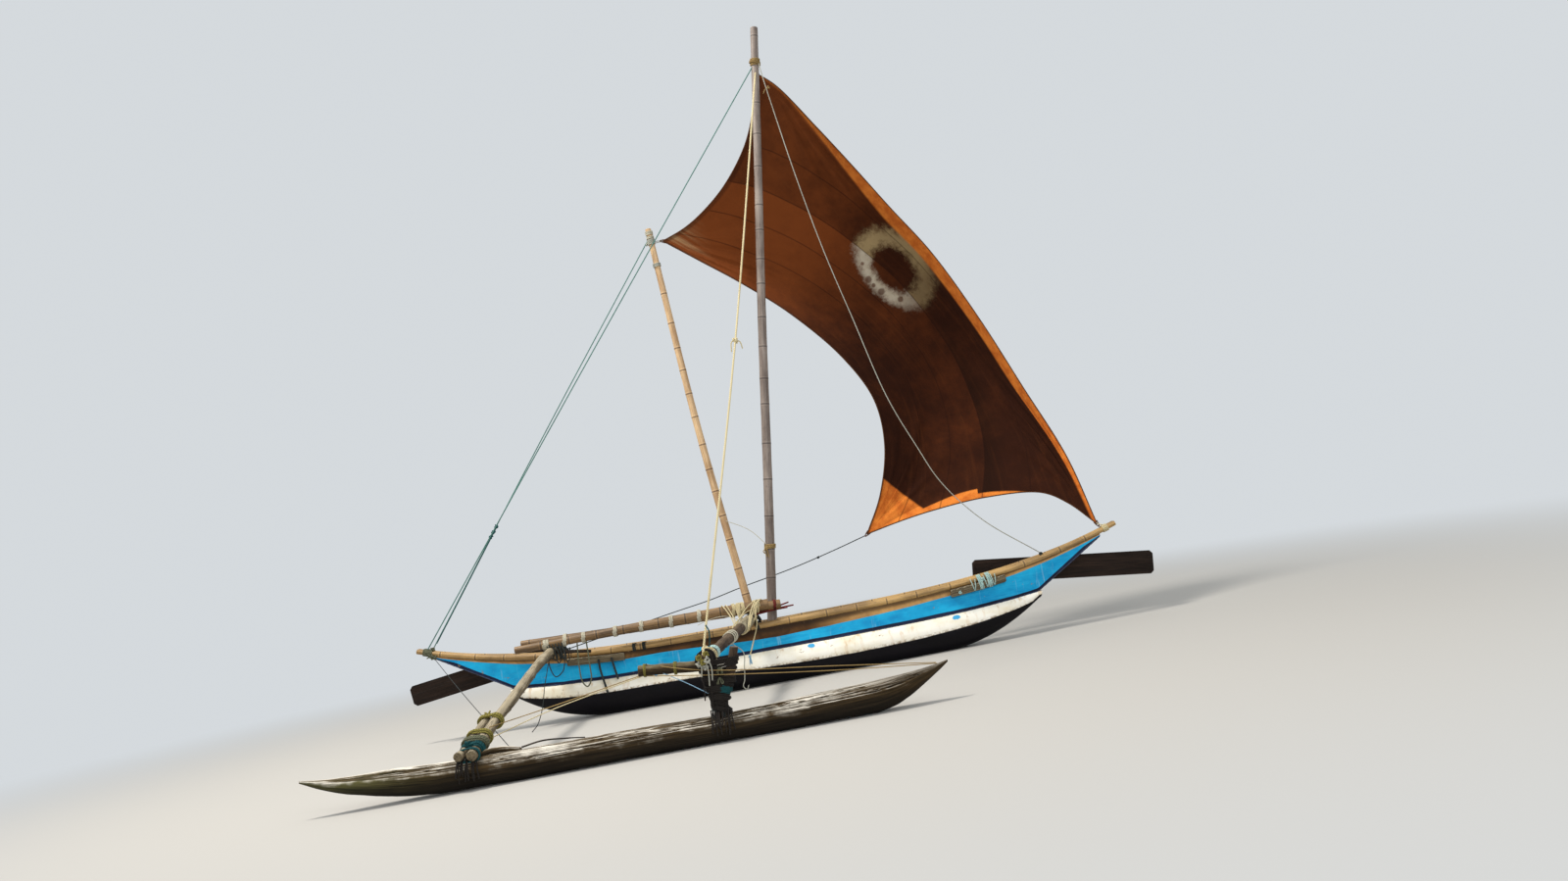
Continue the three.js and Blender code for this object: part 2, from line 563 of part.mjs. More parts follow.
function sailPoint(u, v) {
  const { luff, leech, top, foot } = sailEdges;
  const corner = [leech.getPoint(0), luff.getPoint(0), leech.getPoint(1), luff.getPoint(1)];
  const point = vec(0, 0, 0)
    .addScaledVector(leech.getPointAt(u), 1 - v).addScaledVector(luff.getPointAt(u), v)
    .addScaledVector(top.getPointAt(v), 1 - u).addScaledVector(foot.getPointAt(v), u)
    .addScaledVector(corner[0], -(1 - u) * (1 - v)).addScaledVector(corner[1], -(1 - u) * v)
    .addScaledVector(corner[2], -u * (1 - v)).addScaledVector(corner[3], -u * v);
  point.y += BELLY * Math.sin(Math.PI * u) ** 0.9 * Math.sin(Math.PI * v) ** 0.9;
  return point;
}
const SAIL_THICK = 6;
const [sailRows, sailColumns] = [26, 14];
const sailGrid = spread(0, 1, sailRows).map((u) => spread(0, 1, sailColumns).map((v) => sailPoint(u, v)));
add('sail', sheet(sailGrid, SAIL_THICK), FINISH.sail);

// Main stays: taut ropes from the spars' heads to the stern tip and the end of the bow boom
const SHROUD_KNOT = [130, -1980, 3530];
const stay = (path, radius) => pole(path, radius, radius, { sides: 8, steps: 2 });
const tipTop = railZ(tipX) + railRadius(tipX) + 15;
const headCutters = [mastPole(GAP), headBand(GAP)];
const tipCutters = [tipBand(-1, GAP), ...rails];
const masthead = [head.x, -20, headZ];
const spritHead = [-624, 30, 5250];
const boomHead = [bowBoomEnd[0] + 4, bowBoomEnd[1] + 30, bowBoomEnd[2] + 40];
const sternTip = (y, inward = 0) => [inward - tipX, y, tipTop - 8 - inward * 0.3];
const aftStays = [
  // name, head, sag point, foot, radius, what it is made fast round at its head
  ['backstay', masthead, [-1470, -24, 4060], sternTip(-28), 7, headCutters],
  ['sprit_guy', spritHead, [-2240, 30, 3150], sternTip(30, 40), 6, [spritPole(GAP)]],
];
for (const [name, from, middle, to, radius, cutters] of aftStays) {
  add(name, cut(stay([from, middle, to], radius), ...cutters, ...tipCutters), FINISH.netting);
}
const shroud = stay([[head.x - 5, 0, headZ - 70], SHROUD_KNOT, boomHead], 10);
add('shroud', cut(shroud, ...headCutters, bowBoomPole(GAP)), FINISH.rope);

export default group;
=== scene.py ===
# %% [markdown]
# # A sailing outrigger canoe
# This lesson dresses the plain solids of a double-ended outrigger canoe: a dugout base with planked
# sides, a float carried on two booms, and a four-cornered sail spread by a mast and a sprit. The
# solids come as a fixed frame in metres, with +X to the bow, +Y to port and +Z up. Each new piece
# is laid exactly where its solid is, so nothing is fitted by eye.

import bmesh
import bpy
import numpy as np
from mathutils import Matrix


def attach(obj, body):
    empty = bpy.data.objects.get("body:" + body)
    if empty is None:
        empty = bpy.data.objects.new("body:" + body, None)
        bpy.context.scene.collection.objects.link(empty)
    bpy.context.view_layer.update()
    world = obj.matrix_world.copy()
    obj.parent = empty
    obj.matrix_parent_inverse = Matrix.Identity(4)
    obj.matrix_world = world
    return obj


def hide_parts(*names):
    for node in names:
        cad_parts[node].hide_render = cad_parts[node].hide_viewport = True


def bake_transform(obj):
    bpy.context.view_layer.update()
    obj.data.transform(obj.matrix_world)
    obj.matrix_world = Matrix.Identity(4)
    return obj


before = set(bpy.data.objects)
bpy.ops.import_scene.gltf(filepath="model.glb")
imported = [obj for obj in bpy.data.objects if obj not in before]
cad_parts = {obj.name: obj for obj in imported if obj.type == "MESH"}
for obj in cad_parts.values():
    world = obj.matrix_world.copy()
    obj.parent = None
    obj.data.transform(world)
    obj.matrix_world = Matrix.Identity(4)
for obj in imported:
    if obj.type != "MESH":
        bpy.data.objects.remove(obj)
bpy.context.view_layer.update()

# %% [markdown]
# ## The camera
# The photograph was taken from the beach at eye height, a little below the boat's middle, with a
# wide lens. The beach slopes there, so on a level floor the camera is rolled instead. Its place and
# its three axes are enough to write its matrix.

# %% The camera
EYE = (0.12734, -13.79129, 1.46732)
EYE_RIGHT = (0.98352833, -0.00908438, -0.18052564)
EYE_UP = (0.17904353, -0.0881123, 0.97988756)
EYE_FORWARD = (0.0248082, 0.99606912, 0.08503444)
LENS_MM = 27.99

camera_data = bpy.data.cameras.new("camera")
camera_data.lens = LENS_MM
camera_data.sensor_width = 36.0
camera_data.sensor_fit = "HORIZONTAL"
camera_data.clip_end = 500.0
camera = bpy.data.objects.new("camera", camera_data)
turn = Matrix([EYE_RIGHT, EYE_UP, [-v for v in EYE_FORWARD]]).transposed()
camera.matrix_world = Matrix.Translation(EYE) @ turn.to_4x4()
bpy.context.scene.collection.objects.link(camera)
bpy.context.scene.camera = camera

# %% [markdown]
# ## Curves and frames
# Poles and ropes are tubes round a path. A path is given by a few points, and a Catmull-Rom curve
# runs through them. Its knots are spaced by the square root of each chord, so that it doesn't loop
# at close points. A tube also needs a side direction at each place, and carrying one from point to
# point, instead of working it out from a fixed up direction, keeps the tube from twisting.

# %% Helpers for paths
def unit(vectors):
    """Each vector divided by its length."""
    return vectors / np.maximum(np.linalg.norm(vectors, axis=-1, keepdims=True), 1e-12)


def mix(low, high, share):
    """low at share 0, high at share 1, in a straight line between."""
    return low + (high - low) * share


def ease(value, low, high):
    """0 below low, 1 above high, and 3t² - 2t³ between."""
    t = np.clip((value - low) / (high - low), 0, 1)
    return t * t * (3 - 2 * t)


def bell(x, middle, reach):
    """1 in the middle, falling as e to the power of minus (distance / reach)²."""
    return np.exp(-((x - middle) / reach) ** 2)


def stacked(*parts):
    """The parts side by side as the last axis of one array, each spread to their common shape."""
    return np.stack(np.broadcast_arrays(*parts), -1)


def distance_along(path):
    """How far along the path each of its points is."""
    return np.r_[0, np.cumsum(np.linalg.norm(np.diff(path, axis=0), axis=1))]


def evenly(path, count, closed=False):
    """count points evenly spaced along a fine path. A closed path's last point isn't given twice."""
    run = distance_along(path)
    want = np.linspace(0, run[-1], count, endpoint=not closed)
    return np.stack([np.interp(want, run, column) for column in path.T], 1)


def curve(points, count):
    """Centripetal Catmull-Rom curve through the points, as count points evenly spaced along it."""
    p = np.asarray(points, float)
    if len(p) == 2:
        return mix(p[0], p[1], np.linspace(0, 1, count)[:, None])
    p = np.vstack([2 * p[0] - p[1], p, 2 * p[-1] - p[-2]])
    knots = np.r_[0, np.cumsum(np.linalg.norm(np.diff(p, axis=0), axis=1) ** 0.5)]
    t = np.linspace(knots[1], knots[-2], max(60 * len(p), 2 * count))
    i = np.clip(np.searchsorted(knots, t, side="right") - 1, 1, len(p) - 3)

    def between(a, b, ta, tb):
        return a + (b - a) * ((t - ta) / (tb - ta))[:, None]

    k = [knots[i + j] for j in (-1, 0, 1, 2)]
    q = [p[i + j] for j in (-1, 0, 1, 2)]
    a = [between(q[j], q[j + 1], k[j], k[j + 1]) for j in range(3)]
    b = [between(a[j], a[j + 1], k[j], k[j + 2]) for j in range(2)]
    return evenly(between(b[0], b[1], k[1], k[2]), count)


def crosswise(way):
    """A direction square to the given one: its cross product with the axis that it leans on least."""
    return unit(np.cross(way, np.eye(3)[np.argmin(np.abs(way))]))


def carried_frames(path):
    """Tangent, side and top at each point.
    Each side is the one before it, less its part along the new tangent."""
    tangent = unit(np.gradient(path, axis=0))
    side = np.empty_like(tangent)
    last = crosswise(tangent[0])
    for i, way in enumerate(tangent):
        last = unit(last - way * (last @ way))
        side[i] = last
    return tangent, side, np.cross(tangent, side)


def wobble(place, seed, size, octaves=3):
    """A smooth random height, about -1 to 1: sine waves in random directions.
    Each octave's waves are half as long and half as high."""
    draw = np.random.default_rng(seed)
    place = np.asarray(place, float)
    total, strength = np.zeros(place.shape[:-1]), 0.0
    for octave in range(octaves):
        share = 0.5 ** octave
        for _ in range(5):
            way = unit(draw.normal(size=place.shape[-1])) * draw.uniform(0.7, 1.3)
            phase = draw.uniform(0, 2 * np.pi)
            total = total + share * np.sin(place @ way * 2 * np.pi / (size * share) + phase)
        strength += share * 5 ** 0.5
    return total / strength


# %% [markdown]
# ## From grids to meshes
# Every piece is one or more grids of points. A grid may close round its columns, as a tube does,
# and round its rows, as a ring does. Corners carry a UV map: the turn round a tube and the metres
# along it. Points carry two more values: "run", a place that follows the piece, for grain and
# fibres, and "mark", a value from 0 to 1 for what one piece needs, such as a bamboo's joints.

# %% The shape collector
CUT_BEVEL = 0.12
END_RINGS = {"cut": [(0.0, 0.88)], "round": [(0.45, 0.87), (0.8, 0.55), (0.95, 0.25)]}


def store(mesh, name, values):
    """Writes a number or a vector for each point of a mesh."""
    kind, field = ("FLOAT_VECTOR", "vector") if values.ndim == 2 else ("FLOAT", "value")
    attribute = mesh.attributes.new(name, kind, "POINT")
    attribute.data.foreach_set(field, values.astype(np.float32).ravel())


def add_piece(name, mesh, material, replaces=(), body="hull", slot=None, blend=None, sharp=40):
    """The mesh as an object, with its material slot and the solids that it stands for.
    It rides on its body, or, given a blend, stays fixed where it is in the world."""
    mesh.shade_smooth()
    mesh.set_sharp_from_angle(angle=np.radians(sharp))
    mesh.materials.clear()
    mesh.materials.append(material)
    piece = bpy.data.objects.new(name, mesh)
    bpy.context.scene.collection.objects.link(piece)
    if replaces:
        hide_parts(*replaces)
    if blend is None:
        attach(piece, body)
    else:
        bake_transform(piece)
    print(f"{name}: {len(mesh.polygons)} faces")
    return piece


class Shape:
    """Collects grids of points and makes them one mesh."""

    def __init__(self):
        self.points, self.faces, self.uvs, self.runs, self.marks = [], [], [], [], []
        self.count = 0

    def grid(self, points, wrap=(False, True), uv=None, run=None, mark=None, flip=None):
        """Adds rows × columns of points. wrap says whether the rows and the columns close on themselves."""
        rows, columns = points.shape[:2]
        i = np.arange(rows if wrap[0] else rows - 1)[:, None]
        j = np.arange(columns if wrap[1] else columns - 1)[None]
        i2, j2 = (i + 1) % rows, (j + 1) % columns
        quads = np.stack([i * columns + j, i * columns + j2, i2 * columns + j2, i2 * columns + j], -1)
        if uv is None:
            uv = np.zeros((rows + wrap[0], columns + wrap[1], 2))
        corners = np.stack([uv[i, j], uv[i, j + 1], uv[i + 1, j + 1], uv[i + 1, j]], 2)
        quads, corners = quads.reshape(-1, 4), corners.reshape(-1, 4, 2)
        flat = points.reshape(-1, 3)
        if flip is None:
            a, b, c, d = (flat[quads[:, k]] for k in range(4))
            flip = np.sum((a - flat.mean(axis=0)) * np.cross(c - a, d - b)) < 0
        way = -1 if flip else 1
        faces = (quads + self.count)[:, ::way].tolist()
        corner_rows = list(corners[:, ::way])
        if wrap[1] and not wrap[0]:
            for row, turned in ((0, flip), (rows - 1, not flip)):
                order = np.arange(columns)[::1 if turned else -1]
                faces.append((order + row * columns + self.count).tolist())
                corner_rows.append(uv[row][order])
        self.faces += faces
        self.uvs += corner_rows
        self.points.append(flat)
        self.runs.append((np.zeros_like(points) if run is None else run).reshape(-1, 3))
        self.marks.append((np.zeros((rows, columns)) if mark is None else mark).reshape(-1))
        self.count += len(flat)
        return self

    def tube(self, path, radius, sides=12, ends="cut", mark=None):
        """Rings round a path: centre + radius·(cos turn·side + sin turn·top). radius is one number,
        one for each ring, or one for each ring and side. Ends are cut with a small bevel, or round."""
        path = np.asarray(path, float)
        radius = np.asarray(radius, float)
        if radius.ndim < 2:
            radius = np.broadcast_to(radius, len(path))[:, None] * np.ones(sides)
        tangent, side, top = carried_frames(path)
        along = distance_along(path)
        mark = np.zeros(len(path)) if mark is None else mark
        tips, at_tips, ways = path[[0, -1]], radius[[0, -1]], tangent[[0, -1]] * [[-1], [1]]
        thick = at_tips.mean(axis=1)
        if ends == "cut":
            path = path.copy()
            path[[0, -1]] -= ways * thick[:, None] * CUT_BEVEL
        for reach, share in END_RINGS[ends]:
            shift = reach * thick
            new = tips + ways * shift[:, None]
            path = np.vstack([new[:1], path, new[1:]])
            radius = np.vstack([at_tips[0] * share, radius, at_tips[1] * share])
            tangent, side, top = (np.vstack([v[:1], v, v[-1:]]) for v in (tangent, side, top))
            along = np.r_[along[0] - shift[0], along, along[-1] + shift[1]]
            mark = np.r_[mark[0], mark, mark[-1]]
        turn = 2 * np.pi * np.arange(sides) / sides
        cos, sin = np.cos(turn), np.sin(turn)
        outward = cos[:, None] * side[:, None] + sin[:, None] * top[:, None]
        run = stacked(radius * cos, radius * sin, along[:, None])
        uv = stacked(np.arange(sides + 1) / sides, along[:, None])
        points = path[:, None] + radius[..., None] * outward
        return self.grid(points, uv=uv, run=run, mark=np.repeat(mark[:, None], sides, 1))

    def strand(self, points, radius, count, sides=7):
        """A thin rope with round ends, through a few points."""
        return self.tube(curve(points, count), radius, sides, "round")

    def bar(self, sections, edge=0.006):
        """A bar through four-cornered sections. Each corner is rounded by the curve
        (1 - t)²·before + 2t(1 - t)·corner + t²·after, and each end by a smaller ring."""
        corners = np.asarray(sections, float)
        t = np.linspace(0, 1, 4)[:, None]
        before = corners + unit(np.roll(corners, 1, axis=1) - corners) * edge
        after = corners + unit(np.roll(corners, -1, axis=1) - corners) * edge
        arcs = ((1 - t) ** 2 * before[:, :, None] + 2 * t * (1 - t) * corners[:, :, None]
                + t ** 2 * after[:, :, None])
        rings = arcs.reshape(len(corners), 16, 3)
        middle = corners.mean(axis=1)
        ways = unit(np.stack([middle[1] - middle[0], middle[-2] - middle[-1]]))
        pulled = rings[[0, -1]] + ways[:, None] * edge
        size = np.linalg.norm(rings[0] - middle[0], axis=1).mean()
        small = middle[[0, -1], None] + (rings[[0, -1]] - middle[[0, -1], None]) * (1 - edge / size)
        rings = np.concatenate([small[:1], pulled[:1], rings[1:-1], pulled[1:], small[1:]])
        middle = rings.mean(axis=1)
        _, side, top = carried_frames(middle)
        out = rings - middle[:, None]
        local = [np.sum(out * way[:, None], -1) for way in (side, top)]
        return self.grid(rings, run=stacked(*local, distance_along(middle)[:, None]))

    def make(self, name, material, replaces=(), body="hull", **more):
        """The finished object."""
        mesh = bpy.data.meshes.new(name)
        mesh.from_pydata(np.vstack(self.points).tolist(), [], self.faces)
        layer = mesh.uv_layers.new(name="UVMap")
        layer.data.foreach_set("uv", np.vstack(self.uvs).astype(np.float32).ravel())
        store(mesh, "run", np.vstack(self.runs))
        store(mesh, "mark", np.concatenate(self.marks))
        return add_piece(name, mesh, material, replaces, body, **more)

# %% [markdown]
# ## Floor and light
# A plain pale floor and soft light, as in a studio. The camera is rolled, so a floor with an edge
# would show a slanted horizon. Here the floor's colour fades into the world's with the distance from
# the boat, and no edge shows from any side. The key light stands high on the left, where the sun was.

# %% Node wiring
class Value:
    """One output of a node. Sums, products and comparisons of values add the nodes for them."""

    def __init__(self, wires, socket):
        self.wires, self.socket = wires, socket

    def __add__(self, other):
        return self.wires.math("ADD", self, other)

    def __sub__(self, other):
        return self.wires.math("SUBTRACT", self, other)

    def __rsub__(self, other):
        return self.wires.math("SUBTRACT", other, self)

    def __mul__(self, other):
        return self.wires.math("MULTIPLY", self, other)

    def __gt__(self, other):
        return self.wires.math("GREATER_THAN", self, other)

    def __abs__(self):
        return self.wires.math("ABSOLUTE", self)

    __radd__, __rmul__ = __add__, __mul__


class Wiring:
    """Short calls that add and join nodes in one tree. A number, a vector, a colour or a value
    feeds any socket."""

    def __init__(self, tree):
        self.tree = tree

    def feed(self, socket, value):
        if isinstance(value, Value):
            self.tree.links.new(value.socket, socket)
        else:
            socket.default_value = value

    def node(self, kind, feeds=(), output=0, **settings):
        """Adds a node, sets it, feeds it and gives one of its outputs."""
        made = self.tree.nodes.new("ShaderNode" + kind)
        for key, value in settings.items():
            setattr(made, key, value)
        for key, value in dict(feeds).items():
            self.feed(made.inputs[key], value)
        return Value(self, made.outputs[output])

    def all_of(self, value):
        """All outputs of the node that a value comes from."""
        return [Value(self, socket) for socket in value.socket.node.outputs]

    def math(self, operation, a, b=0.0):
        return self.node("Math", {0: a, 1: b}, operation=operation)

    def most(self, a, b):
        return self.math("MAXIMUM", a, b)

    def mix(self, share, a, b):
        """a at share 0 and b at share 1. Each is a colour from a node or a code such as 0x8a8172."""
        a, b = (colour(c) if isinstance(c, int) else c for c in (a, b))
        return self.node("Mix", {0: share, 6: a, 7: b}, 2, data_type="RGBA", clamp_factor=True)

    def span(self, value, low, high, to_low=0.0, to_high=1.0):
        """to_low where the value is low and to_high where it is high, by 3t² - 2t³ between."""
        feeds = {0: value, 1: low, 2: high, 3: to_low, 4: to_high}
        return self.node("MapRange", feeds, interpolation_type="SMOOTHSTEP")

    def vector(self, operation, a, b=(0, 0, 0)):
        """Vector math. A length, a distance and a dot product are numbers."""
        number = operation in ("LENGTH", "DISTANCE", "DOT_PRODUCT")
        return self.node("VectorMath", {0: a, 1: b}, int(number), operation=operation)

    def scaled(self, place, factors):
        return self.vector("MULTIPLY", place, factors)

    def noise(self, place, factors, detail=3.0, roughness=0.55, distortion=0.0):
        """Noise at a place whose three parts are first multiplied by the factors."""
        feeds = {"Vector": self.scaled(place, factors), "Scale": 1.0, "Detail": detail,
                 "Roughness": roughness, "Distortion": distortion}
        return self.node("TexNoise", feeds)

    def run(self):
        return self.node("Attribute", (), "Vector", attribute_name="run", attribute_type="GEOMETRY")

    def mark(self):
        return self.node("Attribute", (), "Fac", attribute_name="mark", attribute_type="GEOMETRY")

    def place(self):
        return self.node("TexCoord", (), "Object")

    def axes(self, place):
        """The three parts of a vector."""
        return self.all_of(self.node("SeparateXYZ", {0: place}))

    def uv(self):
        return self.axes(self.node("UVMap"))

    def joined(self, x, y=0.0):
        return self.node("CombineXYZ", {0: x, 1: y})

    def use(self, group, **feeds):
        """All outputs of a group."""
        return self.all_of(self.node("Group", feeds, node_tree=group))


def colour(code):
    """A screen colour such as 0x8a8172 as the linear red, green, blue and alpha that nodes use."""
    screen = np.array([(code >> shift & 255) / 255 for shift in (16, 8, 0)])
    light = np.where(screen <= 0.04045, screen / 12.92, ((screen + 0.055) / 1.055) ** 2.4)
    return (*light.tolist(), 1.0)


def brighter(code, factor):
    """A colour's light times a factor, and no more than 1."""
    return tuple(min(1.0, factor * v) for v in colour(code))


def new_group(name, inputs, outputs):
    """A shader node group with named sockets. inputs are (name, kind, value), outputs are (name, kind)."""
    tree = bpy.data.node_groups.new(name, "ShaderNodeTree")
    for label, kind, value in inputs:
        socket = tree.interface.new_socket(label, in_out="INPUT", socket_type="NodeSocket" + kind)
        if value is not None:
            socket.default_value = value
    for label, kind in outputs:
        tree.interface.new_socket(label, in_out="OUTPUT", socket_type="NodeSocket" + kind)
    start, end = tree.nodes.new("NodeGroupInput"), tree.nodes.new("NodeGroupOutput")
    wires = Wiring(tree)
    given = {socket.name: Value(wires, socket) for socket in start.outputs}
    return tree, wires, given, end.inputs


def new_material(name):
    """A material with one Principled BSDF, and its wiring."""
    material = bpy.data.materials.new(name)
    material.use_nodes = True
    return material, Wiring(material.node_tree)


def finish_surface(wires, base, roughness, height=None, strength=0.5, depth=0.002, shine=0.5):
    """Feeds the shader's colour, roughness and shine, and a bump of the given depth in metres."""
    sockets = wires.tree.nodes["Principled BSDF"].inputs
    wires.feed(sockets["Base Color"], base)
    wires.feed(sockets["Roughness"], roughness)
    wires.feed(sockets["Specular IOR Level"], shine)
    if height is not None:
        feeds = {"Strength": strength, "Distance": depth, "Height": height}
        wires.feed(sockets["Normal"], wires.node("Bump", feeds))


# %% The floor, the world and the lights
BACKDROP, BACKDROP_LIGHT = colour(0xdfe4e8), 0.9
FLOOR = colour(0xb4b0a9)
FLOOR_RADIUS, FLOOR_CORNERS = 120.0, 96
FADE = (5.0, 15.0)

world = bpy.data.worlds.new("studio")
world.use_nodes = True
world.node_tree.nodes["Background"].inputs[0].default_value = BACKDROP
world.node_tree.nodes["Background"].inputs[1].default_value = BACKDROP_LIGHT
bpy.context.scene.world = world

floor_finish, wires = new_material("floor")
near = wires.span(wires.vector("LENGTH", wires.place()), *FADE, 1.0, 0.0)
finish_surface(wires, FLOOR, 0.9)
glow = wires.node("Emission", {"Color": BACKDROP, "Strength": BACKDROP_LIGHT})
lit = Value(wires, wires.tree.nodes["Principled BSDF"].outputs[0])
blend = wires.node("MixShader", {0: near, 1: glow, 2: lit})
wires.feed(wires.tree.nodes["Material Output"].inputs["Surface"], blend)

turns = np.linspace(0, 2 * np.pi, FLOOR_CORNERS, endpoint=False)
rim = stacked(FLOOR_RADIUS * np.cos(turns), FLOOR_RADIUS * np.sin(turns), -0.001)
floor_mesh = bpy.data.meshes.new("floor")
floor_mesh.from_pydata(rim.tolist(), [], [list(range(FLOOR_CORNERS))])
floor_mesh.materials.append(floor_finish)
floor = bpy.data.objects.new("floor", floor_mesh)
bpy.context.scene.collection.objects.link(floor)


def add_light(name, at, aim, size, watts, tint=(1, 1, 1)):
    """A square area light at a place, turned to what it lights."""
    data = bpy.data.lights.new(name, "AREA")
    data.shape, data.size, data.energy, data.color = "SQUARE", size, watts, tint
    light = bpy.data.objects.new(name, data)
    back = unit(np.subtract(at, aim))
    side = unit(np.cross((0, 0, 1), back))
    turn = Matrix([side, np.cross(back, side), back]).transposed()
    light.matrix_world = Matrix.Translation(at) @ turn.to_4x4()
    bpy.context.scene.collection.objects.link(light)


add_light("key", (-6, -3, 15), (0, -1, 1), 3.0, 2300, (1.0, 0.96, 0.9))
add_light("fill", (5, -17, 8), (0, 0, 1), 8, 900, (0.95, 0.97, 1.0))
bpy.context.scene.view_settings.view_transform = "Standard"

# %% [markdown]
# ## Finishes
# Wood, bamboo, rope and cloth all follow their piece. Their groups read "run", whose third value is
# the distance along the piece, so grain and fibres stay long on a curved pole. What more than one
# material uses is a group: the grain, the weathering on faces that look up, and the rope's strands.

# %% Groups: grain, weathering and strands
def grain_group():
    """Long streaks and cracks along a piece: noise that is squeezed along the run."""
    inputs = [("Place", "Vector", None), ("Fineness", "Float", 1.0), ("Cracks", "Float", 0.5)]
    outputs = [("Tone", "Float"), ("Crack", "Float"), ("Height", "Float")]
    tree, w, given, out = new_group("grain", inputs, outputs)
    place = w.scaled(given["Place"], given["Fineness"])
    fibre = w.noise(place, (90, 90, 3.0), 5.0, 0.65, 0.4)
    broad = w.noise(place, (14, 14, 0.9), 4.0, 0.6, 0.6)
    split = w.noise(place, (34, 34, 0.55), 3.0, 0.5, 0.8)
    crack = w.span(abs(split - 0.5), 0.0, given["Cracks"] * 0.03, 1.0, 0.0)
    w.feed(out["Tone"], w.span(fibre * 0.55 + broad * 0.45, 0.3, 0.7))
    w.feed(out["Crack"], crack)
    w.feed(out["Height"], fibre * 0.5 - crack)
    return tree


def weather_group():
    """Bleaching where a face looks up, and dirt with painted shade where it looks down, both broken up by
    noise.
    """
    inputs = [("Colour", "Color", (1, 1, 1, 1)), ("Place", "Vector", None), ("Bleach", "Color", (1, 1, 1, 1)),
              ("Bleaching", "Float", 0.5), ("Dirt", "Color", (0, 0, 0, 1)), ("Dirtying", "Float", 0.3)]
    tree, w, given, out = new_group("weather", inputs, [("Colour", "Color")])
    up = w.axes(w.node("NewGeometry", (), "Normal"))[2]
    patch = w.noise(given["Place"], (5, 5, 5), 5.0, 0.6)
    above = w.span(up + (patch - 0.5) * 2.2, 0.1, 1.1)
    # Faces that look down are darkened: dirt together with painted shade under the piece.
    below = w.span(up + patch * 0.8, 0.5, -0.5)
    pale = w.mix(above * given["Bleaching"], given["Colour"], given["Bleach"])
    w.feed(out["Colour"], w.mix(below * given["Dirtying"], pale, given["Dirt"]))
    return tree


def strand_group():
    """Laid rope: three strands that run slantwise, as a wave of the turn and the distance along."""
    tree, w, _, out = new_group("strands", [], [("Height", "Float"), ("Fibre", "Float")])
    turn, along, _ = w.uv()
    phase = turn * 3.0 + along * 45.0
    w.feed(out["Height"], abs(w.math("SINE", phase * np.pi)))
    w.feed(out["Fibre"], w.noise(w.joined(phase, along), (9, 30, 1), 4.0, 0.7))
    return tree


GRAIN, WEATHER, STRANDS = grain_group(), weather_group(), strand_group()


# %% [markdown]
# Old timber is dark where it stays wet and silver where the sun reaches it. The grain gives two tones, cracks
# are nearly black, and the weathering lays the silver on top, with dirt and painted shade on the faces that
# look down.

# %% Timber
def timber(name, dark, light, bleach, bleaching, cracks, turned=None):
    """Weathered wood. The grain follows the piece, or lies along the axis that turned leaves short."""
    material, w = new_material(name)
    place = w.scaled(w.place(), turned) if turned else w.run()
    tone, crack, height = w.use(GRAIN, Place=place, Cracks=cracks)
    wood, silver = w.mix(tone, dark, light), w.mix(tone, bleach, brighter(bleach, 1.25))
    worn = w.use(WEATHER, Colour=wood, Place=w.place(), Bleach=silver, Bleaching=bleaching,
                 Dirt=colour(0x1d1712), Dirtying=0.55)[0]
    base = w.mix(crack * 0.75, worn, 0x15100c)
    finish_surface(w, base, w.span(tone, 0, 1, 0.9, 0.72), height, 0.75, 0.004, 0.25)
    return material


DRIFTWOOD = timber("driftwood", 0x1d150b, 0x574428, 0x94886a, 0.6, 0.9)
DARK_TIMBER = timber("dark_timber", 0x231811, 0x57412d, 0x7d6a52, 0.35, 0.6)
GREY_TIMBER = timber("grey_timber", 0x4a3f2e, 0x8f8064, 0xb4a88f, 0.5, 0.8)
BOARD_TIMBER = timber("board_timber", 0x080503, 0x2a180b, 0x3c2915, 0.2, 0.6)


# %% [markdown]
# Bamboo is smooth and a little shiny between its joints. Each joint is a raised ring with a dark
# line and a paler bloom beside it, and each length between two joints has its own tone.

# %% Bamboo
def bamboo(name, dark, light, joint, patchy=0.5):
    """Cane with long thin streaks and soiled patches. The mark is 1 at a joint."""
    material, w = new_material(name)
    run, mark = w.run(), w.mark()
    streak = w.noise(run, (120, 120, 2.2), 4.0, 0.6)
    patch = w.noise(run, (6, 6, 1.6), 4.0, 0.62)
    spots = w.noise(run, (60, 60, 22), 5.0, 0.7)
    tone = streak * 0.4 + patch * 0.6
    cane = w.mix(w.span(tone, 0.35, 0.65), dark, light)
    stained = w.mix(w.span(spots, 0.56, 0.72) * patchy, cane, joint)
    dark_ring = w.span(mark, 0.55, 0.95)
    bloom = w.span(mark, 0.05, 0.5) * w.span(mark, 0.6, 0.4)
    ringed = w.mix(bloom * 0.4, stained, brighter(light, 1.3))
    base = w.mix(dark_ring * 0.85, ringed, joint)
    relief = streak * 0.4 - dark_ring * 0.6
    finish_surface(w, base, w.span(tone, 0.3, 0.7, 0.62, 0.45), relief, 0.4)
    return material


YELLOW_BAMBOO = bamboo("yellow_bamboo", 0x9a7650, 0xddba8c, 0x4a3222)
BROWN_BAMBOO = bamboo("brown_bamboo", 0x443018, 0x8e6c40, 0x22170c)
PALE_BAMBOO = bamboo("pale_bamboo", 0x795d36, 0xbd975b, 0x44321c, 0.6)
GREY_BAMBOO = bamboo("grey_bamboo", 0x5a4c44, 0x918378, 0x342a25, 0.7)


# %% [markdown]
# Every rope on the boat is laid from strands, and only its colour and its wear differ, so one
# function makes them all.

